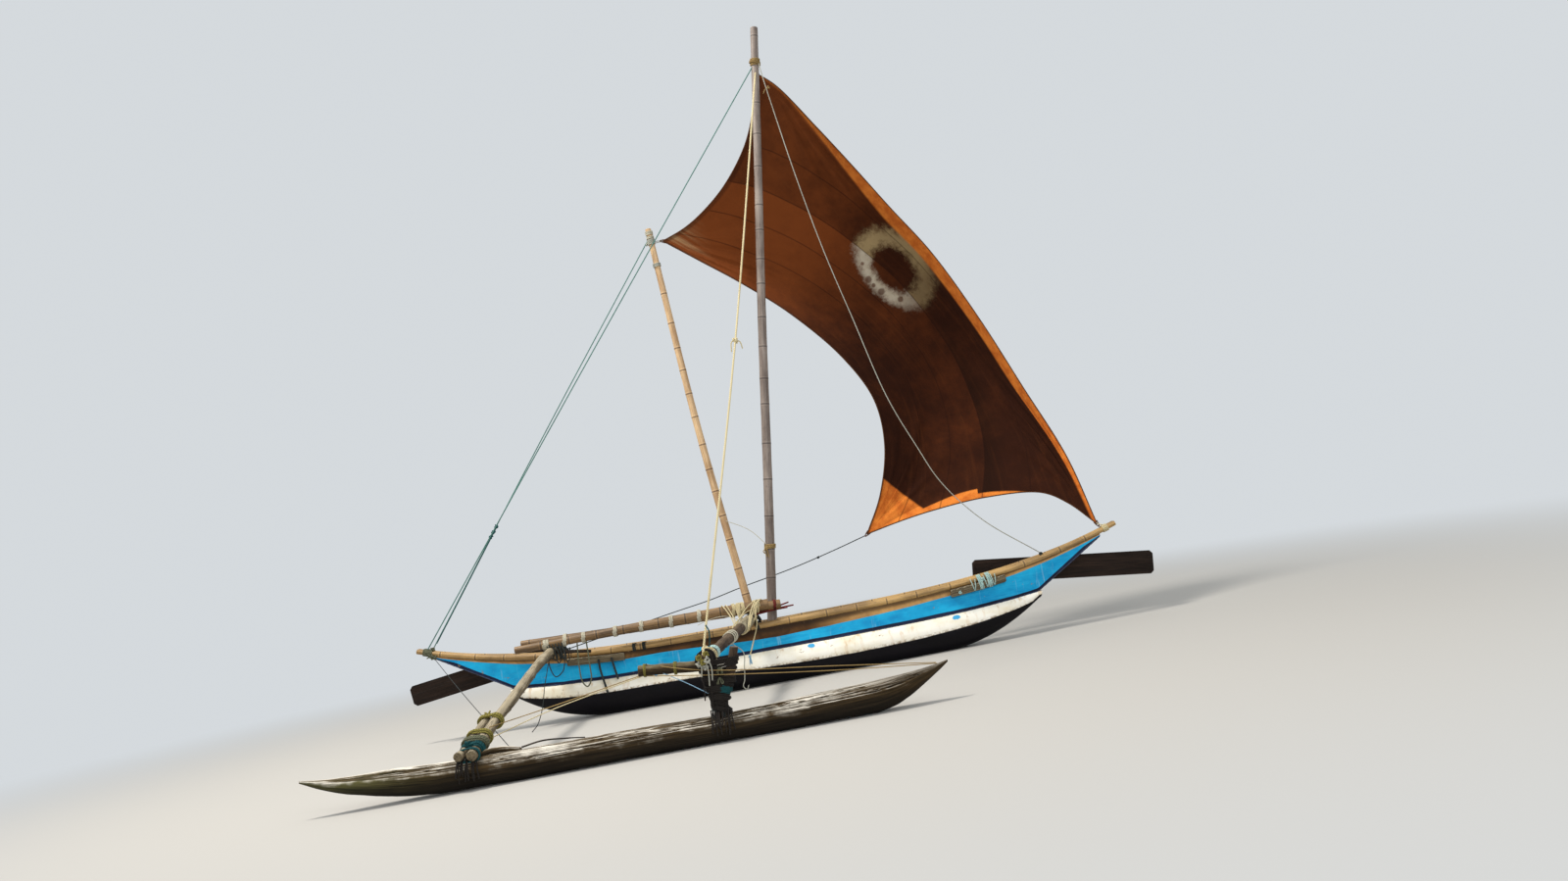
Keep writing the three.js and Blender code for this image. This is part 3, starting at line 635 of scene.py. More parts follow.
# %% Rope
def rope(name, light, dark, slot="pale_rope"):
    """Rope whose grooves between the strands are darker."""
    material, w = new_material(name)
    height, fibre = w.use(STRANDS)
    soil_and_shade = w.noise(w.place(), (3, 3, 3), 3.0, 0.6)
    clean = w.mix(w.span(height * 0.6 + fibre * 0.5, 0.2, 0.85), dark, light)
    base = w.mix(w.span(soil_and_shade, 0.5, 0.75) * 0.45, clean, dark)
    finish_surface(w, base, 0.88, height + fibre * 0.35, 0.8, shine=0.2)
    return material


CREAM_ROPE = rope("cream_rope", 0xd9cba2, 0x8f7c54)
WHITE_ROPE = rope("white_rope", 0xcfc8b2, 0x7f7a68)
YELLOW_ROPE = rope("yellow_rope", 0x8f8442, 0x3b381a)
GREEN_ROPE = rope("green_rope", 0x5f8a80, 0x2c4a44, "green_rope")
TEAL_ROPE = rope("teal_rope", 0x1d5558, 0x081f23, "green_rope")
BLACK_ROPE = rope("black_rope", 0x2b2622, 0x0b0908, "green_rope")
DARK_ROPE = rope("dark_rope", 0x3b403e, 0x111314, "green_rope")
OLIVE_ROPE = rope("olive_rope", 0x6e6f58, 0x23241a, "green_rope")
BLUE_ROPE = rope("blue_rope", 0x9fc4dd, 0x4a7690)
AQUA_ROPE = rope("aqua_rope", 0xb7d2cb, 0x5d8283)
GREY_ROPE = rope("grey_rope", 0xb4b3a6, 0x6a675a)
TAN_ROPE = rope("tan_rope", 0xa98e5c, 0x5e4a2a)
BROWN_ROPE = rope("brown_rope", 0x5d3a22, 0x29160b, "sailcloth")

# %% [markdown]
# ## The hull
# The base is one hollowed log with a flat keel and rounded sides. Its widest breadth, its keel and
# its top edge are each a power of the distance from amidships, so one formula gives every section.
# A plank stands on each edge and leans in a little, and runs past the base to the tips.

# %% Lines of the hull
BASE_END, NOSE, FLAT_RUN = 2.97, 0.04, 1.85
HALF_BEAM, END_HALF_BEAM = 0.29, 0.07
SEAM, SEAM_RISE = 0.375, 0.085
KEEL_ANGLE, EDGE_ANGLE = np.radians(24), np.radians(130)
WALL, HOLLOW_FLOOR, HOLLOW_END = 0.032, 0.045, 2.65
STRAKE_THICK, TIP, TIP_Z, TIP_HALF, TOP_HALF, FAIR_END = 0.028, 3.78, 0.94, 0.046, 0.2, 3.5
RAIL_END, RAIL_Z, RAIL_RISE, RAIL_RADIUS, RAIL_END_RADIUS = 3.975, 0.655, 0.4, 0.035, 0.028
FIT = 0.0003
NOTCH = 0.006


def keel_z(x):
    run = np.maximum(0, np.abs(x) - FLAT_RUN) / (BASE_END - FLAT_RUN)
    return np.where(x > 0, 0.385 * run ** 1.9, 0.36 * run ** 2.2)


def seam_z(x):
    return SEAM + SEAM_RISE * np.minimum(1, np.abs(x) / BASE_END) ** 4


def base_half(x):
    return mix(HALF_BEAM, END_HALF_BEAM, np.minimum(1, np.abs(x) / BASE_END) ** 2.6)


def section_half(x, share, inset=0.0):
    """Half width at a share of the height from keel to seam: half beam times the sine of an angle
    whose cosine falls evenly."""
    cosine = mix(np.cos(KEEL_ANGLE), np.cos(EDGE_ANGLE), share)
    return (base_half(x) - inset) * np.sqrt(1 - cosine ** 2)


def rail_z(x):
    return RAIL_Z + RAIL_RISE * (np.abs(x) / RAIL_END) ** 3.3


def rail_radius(x):
    return mix(RAIL_RADIUS, RAIL_END_RADIUS, (np.abs(x) / RAIL_END) ** 3)


def top_half(x):
    return mix(TOP_HALF, TIP_HALF, np.minimum(1, np.abs(x) / FAIR_END) ** 2.4)


def rail_y(x):
    return top_half(x) - STRAKE_THICK / 2


def past_base(x):
    """0 along the base and 1 at the strakes' tips."""
    return np.clip((np.abs(x) - BASE_END) / (TIP - BASE_END), 0, 1)


def low_z(x):
    return mix(seam_z(x), TIP_Z, past_base(x)) + FIT


def low_half(x):
    edge = section_half(x, 1.0) - 0.002
    return np.where(past_base(x) > 0, mix(section_half(x, 1.0), TIP_HALF, past_base(x)), edge)


def strake_top(x):
    return rail_z(x) - rail_radius(x) + NOTCH


def strake_half(x, z):
    return mix(low_half(x), top_half(x), (z - low_z(x)) / (strake_top(x) - low_z(x)))


def water_z(x):
    """Where the dark bottom meets the white band: higher aft, and up with the keel at the ends."""
    line = 0.177 + 0.006 * x + 0.14 * (np.abs(x) / 2.75) ** 4 + 0.068 * bell(x, -1.25, 1.2)
    return np.clip(line, keel_z(x) + 0.035, seam_z(x) - 0.03)


def blue_z(x):
    """Where the blue meets the bare strip under the rail, which narrows to the tips."""
    strip = 0.117 - 0.105 * np.abs(x) / TIP - 0.02 * bell(x, -1.1, 0.5) + 0.02 * bell(x, -1.9, 0.35)
    return strake_top(x) - NOTCH - strip


def line_z(x):
    """The upper edge of the navy line along the seam, which widens to the tips."""
    low = low_z(x)
    return np.minimum(low + mix(0.035, 0.045, past_base(x)), mix(low, blue_z(x), 0.6))


# %% [markdown]
# The paint is hand-laid in bands: a dark bottom, a white band, a blue side and a bare strip under
# the rail. The mesh's V coordinate counts these bands, 0 to 1 for the bottom, 1 to 2 for the white
# and so on, so the edges follow the hull at any length, and noise makes them waver like brushwork.

# %% Hull paint
INSIDE = 4.5
BLUE_DABS = ((1.99, 0.352, 0.04), (0.352, 0.343, 0.034), (-1.38, 0.33, 0.016))


def hull_paint():
    """The bands from the bottom up, each over the one before, then the navy line and the bare patches."""
    material, w = new_material("hull_paint")
    place = w.place()
    band = w.uv()[1]
    level = band + (w.noise(place, (3, 3, 3), 4.0) - 0.5) * 0.09
    patch = w.noise(place, (2.3, 2.3, 5), 6.0, 0.65)
    fine = w.noise(place, (30, 30, 30), 5.0, 0.7)
    runs = w.noise(place, (16, 16, 1.0), 5.0, 0.6)
    brush = w.noise(place, (1.2, 1.2, 60), 3.0, 0.6)
    patchy = w.span(patch, 0.3, 0.7)

    bottom = w.mix(patchy, 0x030206, 0x0c0910)
    scuffed = w.mix(w.span(fine, 0.6, 0.75) * 0.22, bottom, 0x43382f)
    rust = w.span(runs, 0.52, 0.74) * w.span(level, 1.0, 2.0, 0.25, 0.8)
    white = w.mix(w.span(patch, 0.35, 0.7), 0xf2eee2, 0xe6dcc2)
    stained = w.mix(rust, white, 0xc79a58)
    dabbed = w.mix(w.span(level, 1.22, 1.0) * w.span(fine, 0.4, 0.65), stained, 0x8a7358)
    blue = w.mix(patchy, 0x0686be, 0x1cb0e0)
    brushed = w.mix(w.span(brush, 0.5, 0.7) * 0.2, blue, 0x4cc0e4)
    washed = w.mix(w.span(runs, 0.6, 0.72) * 0.3, brushed, 0xb4d2de)
    tone = w.use(GRAIN, Place=w.scaled(place, (0.06, 1, 1)), Cracks=0.4)[0]
    x, y, _ = w.axes(place)
    # The bare strip's colour is painted shade from the rail: dark amidships, where the rail's shadow lies on
    # it, and lit towards the ends.
    soil_and_shade, clean = w.mix(tone, 0x2c1b0c, 0x64421f), w.mix(tone, 0x8a6234, 0xcb9d62)
    strip = w.mix(w.span(abs(x + 0.5), 0.8, 1.7), soil_and_shade, clean)
    # Painted shade just under the rail, along the strip's top.
    strip = w.mix(w.span(band, 3.25, 3.7) * 0.75, strip, 0x1e130a)

    starboard = w.span(y, -0.04, -0.06)
    for dab_x, dab_z, radius in BLUE_DABS:
        off = w.vector("SUBTRACT", place, (dab_x, 0, dab_z))
        ragged = w.vector("LENGTH", w.scaled(off, (0.7, 0, 1.5))) + (fine - 0.5) * 0.04
        dabbed = w.mix(w.span(ragged, radius, radius * 0.8) * starboard, dabbed, 0x3f9fd0)
    base = w.mix(w.span(level, 0.985, 1.015), scuffed, dabbed)
    base = w.mix(w.span(level, 1.985, 2.015), base, washed)
    base = w.mix(w.span(level, 2.98, 3.02), base, strip)
    base = w.mix(w.span(band, 3.98, 4.02), base, w.mix(tone, 0x5b4a38, 0x9c8768))
    line = w.span(level, 1.97, 1.99) * w.span(level, 2.21, 2.18)
    base = w.mix(line, base, w.mix(patchy, 0x0b1026, 0x1d2745))
    worn = w.span(w.noise(place, (9, 9, 14), 6.0, 0.75), 0.64, 0.67) * 0.8
    base = w.mix(worn * w.span(band, 0.9, 1.0), base, w.mix(tone, 0x6f5a40, 0x9d8460))
    finish_surface(w, base, w.span(patch, 0.3, 0.7, 0.42, 0.62), brush * 0.4 - worn, 0.5, 0.0015, 0.15)
    return material


HULL_PAINT = hull_paint()


# %% The dugout base
BASE_PARTS = ("stern", "mid_stern", "mid_bow", "bow")


def half_ring(x):
    """Half a section from the keel's middle out to the seam, in over the edge and down to the
    hollow's middle."""
    past = np.clip((np.abs(x) - BASE_END) / NOSE, 0, 1)
    close = 1 - np.sqrt(1 - 0.9 * past ** 2)
    low = mix(keel_z(np.clip(x, -BASE_END, BASE_END)), seam_z(x) - 0.016, close)
    water = np.maximum(water_z(np.clip(x, -BASE_END, BASE_END)), low + 0.002)
    top = seam_z(x)
    outer = [mix(low, water, t) for t in np.linspace(0, 1, 8)]
    outer += [mix(water, top, t) for t in np.linspace(0, 1, 10)[1:]]
    rows = [(0 * x, low, 0), (0.5 * section_half(x, 0.0), low, 0)]
    for row, z in enumerate(outer):
        half = section_half(x, (z - low) / (top - low), 0.012 * close)
        rows.append((half, z, min(row, 7) / 7 + max(row - 7, 0) / 9))
    depth = mix(low + HOLLOW_FLOOR, top - 0.001, ease(np.abs(x), HOLLOW_END - 0.3, HOLLOW_END))
    for share in np.linspace(1, 0, 9):
        rows.append((section_half(x, share, WALL), mix(depth, top, share), INSIDE))
    rows.append((0 * x, depth, INSIDE))
    return [np.stack(column, 1) for column in zip(*((half, z, band + 0 * x) for half, z, band in rows))]


def hull_base():
    """Sections at close stations, closed from the starboard half back to the port half."""
    nose = BASE_END + NOSE * np.array([0.25, 0.5, 0.75, 0.9, 1.0])
    x = np.r_[-nose[::-1], np.linspace(-BASE_END, BASE_END, 261), nose]
    half, height, band = half_ring(x)
    y = np.concatenate([half, -half[:, -2:0:-1]], 1)
    z = np.concatenate([height, height[:, -2:0:-1]], 1)
    v = np.concatenate([band, band[:, -2:0:-1], band[:, :1]], 1)
    points = stacked(x[:, None], y, z)
    points[..., 1] += wobble(points * (0.3, 1, 1), 11, 0.16) * 0.0018 * np.sign(y)
    Shape().grid(points, uv=stacked(x[:, None], v)).make(
        "hull_base_log", HULL_PAINT, [f"hull_base_{part}" for part in BASE_PARTS])


hull_base()

# %% [markdown]
# The strakes are sewn to the base over a batten, and tar and paint hide the stitches. The batten is
# a thin tube along the seam that swells a little at each stitch.

# %% Strakes and seams
STRAKE_PARTS = ("stern_tip", "stern", "mid", "bow", "bow_tip")
STITCH = 0.07


def strake(name, side):
    """The outer face in bands of paint, over the top, and down the inner face, a plank's thickness in."""
    x = np.linspace(-TIP, TIP, 341)
    low, line, blue, top = low_z(x), line_z(x), blue_z(x), strake_top(x)
    paint = np.linspace(0, 1, 6)
    rows = [low] + [mix(line, blue, t) for t in paint] + [mix(blue, top, t) for t in (0.33, 0.67, 1)]
    bands = [2.0, *(2.2 + 0.8 * paint), 3.3, 3.6, 3.8]
    outer = np.stack([strake_half(x, z) for z in rows], 1)
    inner = outer[:, ::-2] - STRAKE_THICK
    z = np.stack(rows, 1)
    points = stacked(x[:, None], np.concatenate([outer, inner], 1), np.concatenate([z, z[:, ::-2]], 1))
    points[..., 1] += wobble(points * (0.4, 0, 1), 12 + side, 0.5) * 0.002
    points[..., 1] *= side
    uv = stacked(x[:, None], np.array(bands + [INSIDE] * inner.shape[1] + [2.0]))
    Shape().grid(points, uv=uv).make(
        f"strake_{name}_plank", HULL_PAINT, [f"strake_{name}_{part}" for part in STRAKE_PARTS])


def seam_finish():
    """Navy paint over tar, in patches."""
    material, w = new_material("seam_paint")
    patch = w.noise(w.place(), (8, 8, 8), 5.0, 0.7)
    base = w.mix(w.span(patch, 0.35, 0.7), 0x10162c, 0x2d3d5c)
    finish_surface(w, base, w.span(patch, 0.3, 0.7, 0.5, 0.75), patch, 0.6)
    return material


SEAM_PAINT = seam_finish()


def seam(name, side):
    """A thin batten along the strake's lower edge: radius 6 mm, and 2 mm more at each stitch."""
    x = np.linspace(-TIP + 0.01, TIP - 0.01, 1100)
    path = np.stack([x, side * (low_half(x) + 0.002), low_z(x) + 0.001], 1)
    stitches = np.maximum(0, np.cos(2 * np.pi * distance_along(path) / STITCH)) ** 3
    Shape().tube(path, 0.006 + 0.0022 * stitches, 6).make(f"seam_{name}", SEAM_PAINT)


for name, side in (("port", 1), ("starboard", -1)):
    strake(name, side)
    seam(name, side)


# %% [markdown]
# Where a solid's form is already right, such as a stem, a copy of it is enough: its loose triangles
# are joined, flat faces are made whole, and the edges get a small bevel.

# %% Copies of plain solids
def dressed_copy(node, slot=None, bevel=0.003):
    """A merged and bevelled copy of a node, with its grain along X."""
    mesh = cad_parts[node].data.copy()
    work = bmesh.new()
    work.from_mesh(mesh)
    bmesh.ops.remove_doubles(work, verts=work.verts, dist=2e-5)
    bmesh.ops.dissolve_limit(work, angle_limit=np.radians(1.5), verts=work.verts, edges=work.edges)
    work.to_mesh(mesh)
    work.free()
    places = np.array([vertex.co for vertex in mesh.vertices])
    store(mesh, "run", places[:, [1, 2, 0]])
    piece = add_piece(f"{node}_timber", mesh, DARK_TIMBER, [node], slot=slot, sharp=50)
    rounding = piece.modifiers.new("edges", "BEVEL")
    rounding.width, rounding.segments, rounding.limit_method = bevel, 2, "ANGLE"
    rounding.angle_limit = np.radians(30)


for end in ("bow", "stern"):
    dressed_copy(f"stem_{end}", "hull_paint")
    dressed_copy(f"thole_{end}", bevel=0.002)
dressed_copy("mast_step", bevel=0.005)

# %% [markdown]
# ## Rails
# A pole of pale bamboo lies on each plank's top edge and runs past the tips. Its joints are not
# evenly spaced, so each length is drawn at random between two limits, always from the same seed.

# %% Bamboo poles
def joints_along(length, seed, shortest, longest):
    """Distances of the joints, each length drawn between two limits."""
    draw = np.random.default_rng(seed)
    steps = draw.uniform(shortest, longest, int(length / shortest) + 2)
    places = np.cumsum(steps) - steps[0] * draw.uniform(0.2, 0.9)
    return places[(places > 0.02) & (places < length - 0.02)]


def bamboo_tube(path, radius, seed, shortest=0.26, longest=0.42, sides=16, swell=0.05):
    """Radius and mark of a cane. Near a joint the radius swells by a narrow bell curve with a fine groove
    in its middle, and between joints it is a little slimmer. The mark is a bell curve too."""
    run = distance_along(path)
    places = joints_along(run[-1], seed, shortest, longest)
    off = np.min(np.abs(run[:, None] - places[None]), axis=1)
    slim = 0.015 * (1 - bell(off, 0, 0.07))
    radius = radius * (1 + swell * bell(off, 0, 0.012) - 0.03 * bell(off, 0, 0.004) - slim)
    turn = 2 * np.pi * np.arange(sides) / sides
    spots = stacked(np.cos(turn) * 0.05, np.sin(turn) * 0.05, run[:, None])
    return radius[:, None] * (1 + 0.012 * wobble(spots, seed + 1, 0.4)), bell(off, 0, 0.014)


def cane(points, radius, end_radius, seed, **joints):
    """A shape with a cane along a curve, tapering from one radius to the other."""
    path = curve(points, int(distance_along(curve(points, 400))[-1] / 0.012))
    taper = mix(radius, end_radius, np.linspace(0, 1, len(path)))
    bulk, mark = bamboo_tube(path, taper, seed, **joints)
    return Shape().tube(path, bulk, 16, "cut", mark)


def rail(name, side):
    """A cane of 14 sides whose swellings are held to 3 %."""
    x = np.linspace(-RAIL_END, RAIL_END, 660)
    path = np.stack([x, side * rail_y(x), rail_z(x)], 1)
    bulk, mark = bamboo_tube(path, rail_radius(x), 40 + side, 0.3, 0.48, 14, 0.035)
    bulk = np.minimum(bulk, rail_radius(x)[:, None] * 1.03)
    Shape().tube(path, bulk, 14, "cut", mark).make(f"rail_{name}_pole", PALE_BAMBOO, [f"rail_{name}"])


for name, side in (("port", 1), ("starboard", -1)):
    rail(name, side)


# %% Thwarts and oar blocks
UNDER_RAIL = RAIL_RADIUS + 0.004
THWART_X, THWART_HALF, THWART_LOW, THWART_HIGH = 1.35, 0.105, 0.545, 0.571
BLOCK_REACH, BLOCK_HEIGHT, BLOCK_DEPTH = 0.32, 0.084, 0.052


def thwart(name, end):
    """A seat board across the hull: sections along Y, slanted at the ends to meet the strakes."""
    x = end * THWART_X
    low, high = (strake_half(x, z) - STRAKE_THICK + 0.001 for z in (THWART_LOW, THWART_HIGH))
    fore, aft = x + THWART_HALF, x - THWART_HALF
    corners = [[(aft, t * low, THWART_LOW), (fore, t * low, THWART_LOW), (fore, t * high, THWART_HIGH),
                (aft, t * high, THWART_HIGH)] for t in np.linspace(-1, 1, 15)]
    Shape().bar(corners, 0.004).make(f"thwart_{name}_board", GREY_TIMBER, [f"thwart_{name}"])


def oar_block(name, middle):
    """A balk against the starboard strake, under the rail, with a row of worn notches along its top."""
    corners = []
    for x in np.linspace(middle - BLOCK_REACH, middle + BLOCK_REACH, 41):
        high = rail_z(x) - UNDER_RAIL
        low = high - BLOCK_HEIGHT
        worn = 0.01 * np.cos(2 * np.pi * (x - middle) / 0.16) ** 6
        low_in, high_in = (0.003 - strake_half(x, z) for z in (low, high))
        corners.append([(x, low_in, low), (x, high_in, high), (x, high_in - BLOCK_DEPTH, high - worn),
                        (x, low_in - BLOCK_DEPTH + 0.006, low + 0.004)])
    Shape().bar(corners, 0.008).make(f"oar_block_{name}_balk", GREY_TIMBER, [f"oar_block_{name}"])


thwart("bow", 1)
thwart("stern", -1)
oar_block("bow", 2.3)
oar_block("stern", -2.01)

# %% [markdown]
# ## The float
# The outrigger is a whole log with both ends cut to upturned points. It is the oldest and most
# weathered piece: bleached and split along its top. The splits are real grooves in the mesh. Each
# one follows its own line along the log and fades at its ends.

# %% The float log
FLOAT_Y = -3.69
FLOAT_SIDES, FLOAT_SQUARE, FLOAT_ROUND = 112, 0.9, 0.13
FLOAT_STATIONS = [
    # x, bottom, top, half width
    (-3.98, 0.292, 0.312, 0.012), (-3.8, 0.205, 0.292, 0.048), (-3.56, 0.125, 0.28, 0.082),
    (-3.23, 0.052, 0.272, 0.11), (-2.85, 0.0, 0.254, 0.124), (-2.3, 0.0, 0.246, 0.128),
    (-1.4, 0.0, 0.232, 0.126), (-0.528, 0.0, 0.224, 0.124), (0.4, 0.0, 0.246, 0.126),
    (0.74, 0.0, 0.258, 0.126), (0.93, 0.045, 0.268, 0.112), (1.12, 0.14, 0.282, 0.082),
    (1.27, 0.232, 0.298, 0.046), (1.37, 0.3, 0.318, 0.012),
]
CLEAT = [(-2.52, FLOAT_Y, 0.24), (-2.44, FLOAT_Y, 0.262), (-2.3, FLOAT_Y, 0.262), (-2.19, FLOAT_Y, 0.238)]


def splits(x, turn, count, seed):
    """Depth of the cracks: narrow valleys at drawn turns, each along its own stretch of the log."""
    draw = np.random.default_rng(seed)
    depth = np.zeros(np.broadcast(x, turn).shape)
    for _ in range(count):
        centre, reach = draw.uniform(-3.7, 1.2), draw.uniform(0.15, 0.8)
        at = draw.uniform(0.12, 0.88) * np.pi
        drift = 0.10 * wobble(np.stack([x, 0 * x], -1), int(draw.integers(1e6)), 0.9)
        valley = bell(turn - at, drift, draw.uniform(0.012, 0.03))
        fade = np.clip(1 - ((x - centre) / reach) ** 2, 0, 1) ** 0.5
        depth = np.maximum(depth, draw.uniform(0.5, 1.0) * valley * fade)
    return depth


def float_log():
    """Ellipse sections, squared a little: half·cos t and height·sin t, cos and sin to the power 0.9."""
    x, low, high, half = (column[:, None] for column in curve(FLOAT_STATIONS, 520).T)
    low = np.maximum(low, 0.0)
    turn = 2 * np.pi * np.arange(FLOAT_SIDES)[None] / FLOAT_SIDES
    cos, sin = np.cos(turn), np.sin(turn)
    across = half * np.sign(cos) * np.abs(cos) ** FLOAT_SQUARE
    centre, tall = (high + low) / 2, (high - low) / 2
    points = stacked(x, FLOAT_Y + across, centre + tall * np.sign(sin) * np.abs(sin) ** FLOAT_SQUARE)
    size = np.clip(half / 0.12, 0.1, 1)
    above = ease(sin, -0.1, 0.4)
    crack = splits(x, turn, 46, 23)
    rough = wobble(points * (0.25, 1, 1), 21, 0.11, 4) * 0.004 + wobble(points * (0.5, 1, 1), 22, 0.5) * 0.004
    dip = (rough - 0.004) * size - 0.011 * crack * above * size
    points = points + stacked(0 * x, cos, sin) * np.minimum(dip, 0)[..., None]
    points[..., 2] = np.maximum(points[..., 2], 0.0)
    run = stacked(FLOAT_ROUND * cos, FLOAT_ROUND * sin, x)
    return Shape().grid(points, run=run, mark=crack * above)


def float_finish():
    """Driftwood with its splits darkened, greenish towards the stern end, pale on top, and with painted shade
    low down on its sides.
    """
    material, w = new_material("float_wood")
    place = w.place()
    x, _, z = w.axes(place)
    tone, crack, height = w.use(GRAIN, Place=w.run(), Fineness=0.8, Cracks=0.9)
    wood = w.mix(tone, 0x150f07, 0x523f22)
    mossy = w.mix(w.span(x, -2.6, -3.7) * 0.55, wood, w.mix(tone, 0x2c2f1c, 0x6c6f42))
    flakes = w.mix(w.span(tone, 0.4, 0.66), 0x5c4c34, 0xfaf2e2)
    worn = w.use(WEATHER, Colour=mossy, Place=place, Bleach=flakes, Bleaching=w.span(x, 0.3, 0.9, 0.85, 0.3),
                 Dirt=colour(0x17120e), Dirtying=0.7)[0]
    gaps = w.most(crack * 0.7, w.span(w.mark(), 0.25, 0.8))
    # Painted shade: the log darkens towards its foot, as its lower side lies in shadow.
    low_shade = w.span(z, 0.19, 0.07) * 0.75
    base = w.mix(w.most(gaps * 0.85, low_shade), worn, 0x14100a)
    finish_surface(w, base, w.span(tone, 0, 1, 0.95, 0.75), height, 0.8, 0.005, 0.2)
    return material


float_shape = float_log()
float_shape.tube(curve(CLEAT, 24), np.linspace(0.03, 0.022, 24), 16, "round")
float_shape.make("float_log", float_finish(), ["float"])

# %% [markdown]
# ## Booms and fork
# The stern boom is a natural crook that bends down to the float. The bow boom is straight, and a
# forked branch that stands on the float carries its end. Grown timber is never quite round, so its
# radius changes with the turn and along its length, with a few knots.

# %% Timber poles
BOOM_RADIUS, BOOM_END_RADIUS, BOOM_PORT_END = 0.055, 0.048, 0.33
STERN_BOOM_X, BOW_BOOM_X = -2.45, -0.25


def on_rail(x):
    """Height of a boom's middle where it is notched over the rails."""
    return float(rail_z(x) + rail_radius(x)) + BOOM_RADIUS - NOTCH


STERN_BOOM = [
    (STERN_BOOM_X, BOOM_PORT_END, on_rail(STERN_BOOM_X) + 0.006), (STERN_BOOM_X, 0, on_rail(STERN_BOOM_X)),
    (-2.448, -0.79, 0.769), (-2.446, -1.32, 0.714), (-2.446, -1.83, 0.645), (-2.448, -2.31, 0.579),
    (-2.456, -2.65, 0.528), (-2.472, -3.05, 0.466), (-2.5, -3.37, 0.388), (-2.54, FLOAT_Y, 0.291),
    (-2.546, FLOAT_Y - 0.13, 0.271),
]
BOW_BOOM = [
    (BOW_BOOM_X + 0.03, BOOM_PORT_END, on_rail(BOW_BOOM_X)), (BOW_BOOM_X, 0, on_rail(BOW_BOOM_X)),
    (-0.4, -1.85, 0.716), (-0.592, FLOAT_Y - 0.12, 0.676),
]


def grown(path, radius, seed, sides, knots=5, rough=0.05):
    """Radius for each ring and side: slow swells, a fine roughness, and knots as low round bumps."""
    run = distance_along(path)
    turn = 2 * np.pi * np.arange(sides) / sides
    spots = stacked(0.06 * np.cos(turn), 0.06 * np.sin(turn), 0.35 * run[:, None])
    shape = 1 + rough * wobble(spots, seed, 0.12) + 0.5 * rough * wobble(spots, seed + 1, 0.03)
    draw = np.random.default_rng(seed + 2)
    for _ in range(knots):
        at, way = draw.uniform(0.05, 0.95) * run[-1], draw.uniform(0, 2 * np.pi)
        size = draw.uniform(0.015, 0.03)
        off = np.angle(np.exp(1j * (turn - way))) * 0.05
        shape = shape + 0.16 * np.exp(-(off ** 2 + (run[:, None] - at) ** 2) / size ** 2)
    return np.minimum(radius[:, None] * (shape - rough * 0.8), radius[:, None] * 1.12)


def timber_pole(points, radius, end_radius, seed, step=0.012, sides=24, shape=None, **more):
    """A grown pole along a curve, in a new shape or added to one."""
    path = curve(points, int(distance_along(curve(points, 200))[-1] / step))
    bulk = mix(radius, end_radius, np.linspace(0, 1, len(path)))
    return (shape or Shape()).tube(path, grown(path, bulk, seed, sides, **more), sides)


SPLINT = [(x - 0.088 - 0.004 * i, y - 0.03, max(z, 0.285)) for i, (x, y, z) in enumerate(STERN_BOOM[7:])]
for name, points, radii, seed, knots, rough, material in (
        ("boom_stern", STERN_BOOM, (BOOM_RADIUS, BOOM_END_RADIUS), 31, 9, 0.08, GREY_TIMBER),
        ("boom_bow", BOW_BOOM, (BOOM_RADIUS, BOOM_END_RADIUS), 34, 7, 0.07, DARK_TIMBER),
        ("boom_splint", SPLINT, (0.04, 0.042), 37, 4, 0.07, GREY_TIMBER)):
    timber_pole(points, *radii, seed, knots=knots, rough=rough).make(f"{name}_pole", material, [name])


# %% The fork and its bar
FORK_STEM = [(-0.528, FLOAT_Y, 0.21), (-0.52, FLOAT_Y, 0.33), (-0.552, FLOAT_Y, 0.47),
             (-0.582, FLOAT_Y, 0.648)]
FORK_ARM = [(-0.52, FLOAT_Y, 0.29), (-0.486, FLOAT_Y, 0.38), (-0.405, FLOAT_Y, 0.52),
            (-0.33, FLOAT_Y, 0.738)]
BAR_Y = FLOAT_Y + 0.094
FORK_BAR = [(-1.146, BAR_Y, 0.676), (-0.8, BAR_Y, 0.64), (-0.5, BAR_Y, 0.606)]
FORK_CUBE = 0.005


def melted(shape, name, voxel):
    """The shape's overlapping tubes as one skin: remeshed on small cubes and smoothed."""
    mesh = bpy.data.meshes.new(name)
    mesh.from_pydata(np.vstack(shape.points).tolist(), [], shape.faces)
    rough = bpy.data.objects.new(name, mesh)
    bpy.context.scene.collection.objects.link(rough)
    remesh = rough.modifiers.new("skin", "REMESH")
    remesh.mode, remesh.voxel_size, remesh.use_smooth_shade = "VOXEL", voxel, True
    smooth = rough.modifiers.new("smooth", "SMOOTH")
    smooth.factor, smooth.iterations = 0.5, 6
    skin = bpy.data.meshes.new_from_object(rough.evaluated_get(bpy.context.evaluated_depsgraph_get()))
    bpy.data.objects.remove(rough)
    return skin


crook = timber_pole(FORK_STEM, 0.058, 0.042, 41, 0.008, 20, knots=3)
timber_pole(FORK_ARM, 0.05, 0.036, 43, 0.008, 20, crook, knots=2)
FORK_TIMBER = timber("fork_timber", 0x201712, 0x4f3e2e, 0x75675a, 0.4, 0.5, turned=(1, 1, 0.3))
add_piece("fork_crook", melted(crook, "fork_crook", FORK_CUBE), FORK_TIMBER, ["fork"], sharp=180)
timber_pole(FORK_BAR, 0.048, 0.044, 47, knots=4, rough=0.08).make("fork_bar_pole", DRIFTWOOD, ["fork_bar"])

# %% [markdown]
# ## Spare spars
# Two bamboo poles lie along the hull on both booms. The thicker one has its open butt at the bow
# end, cut square.

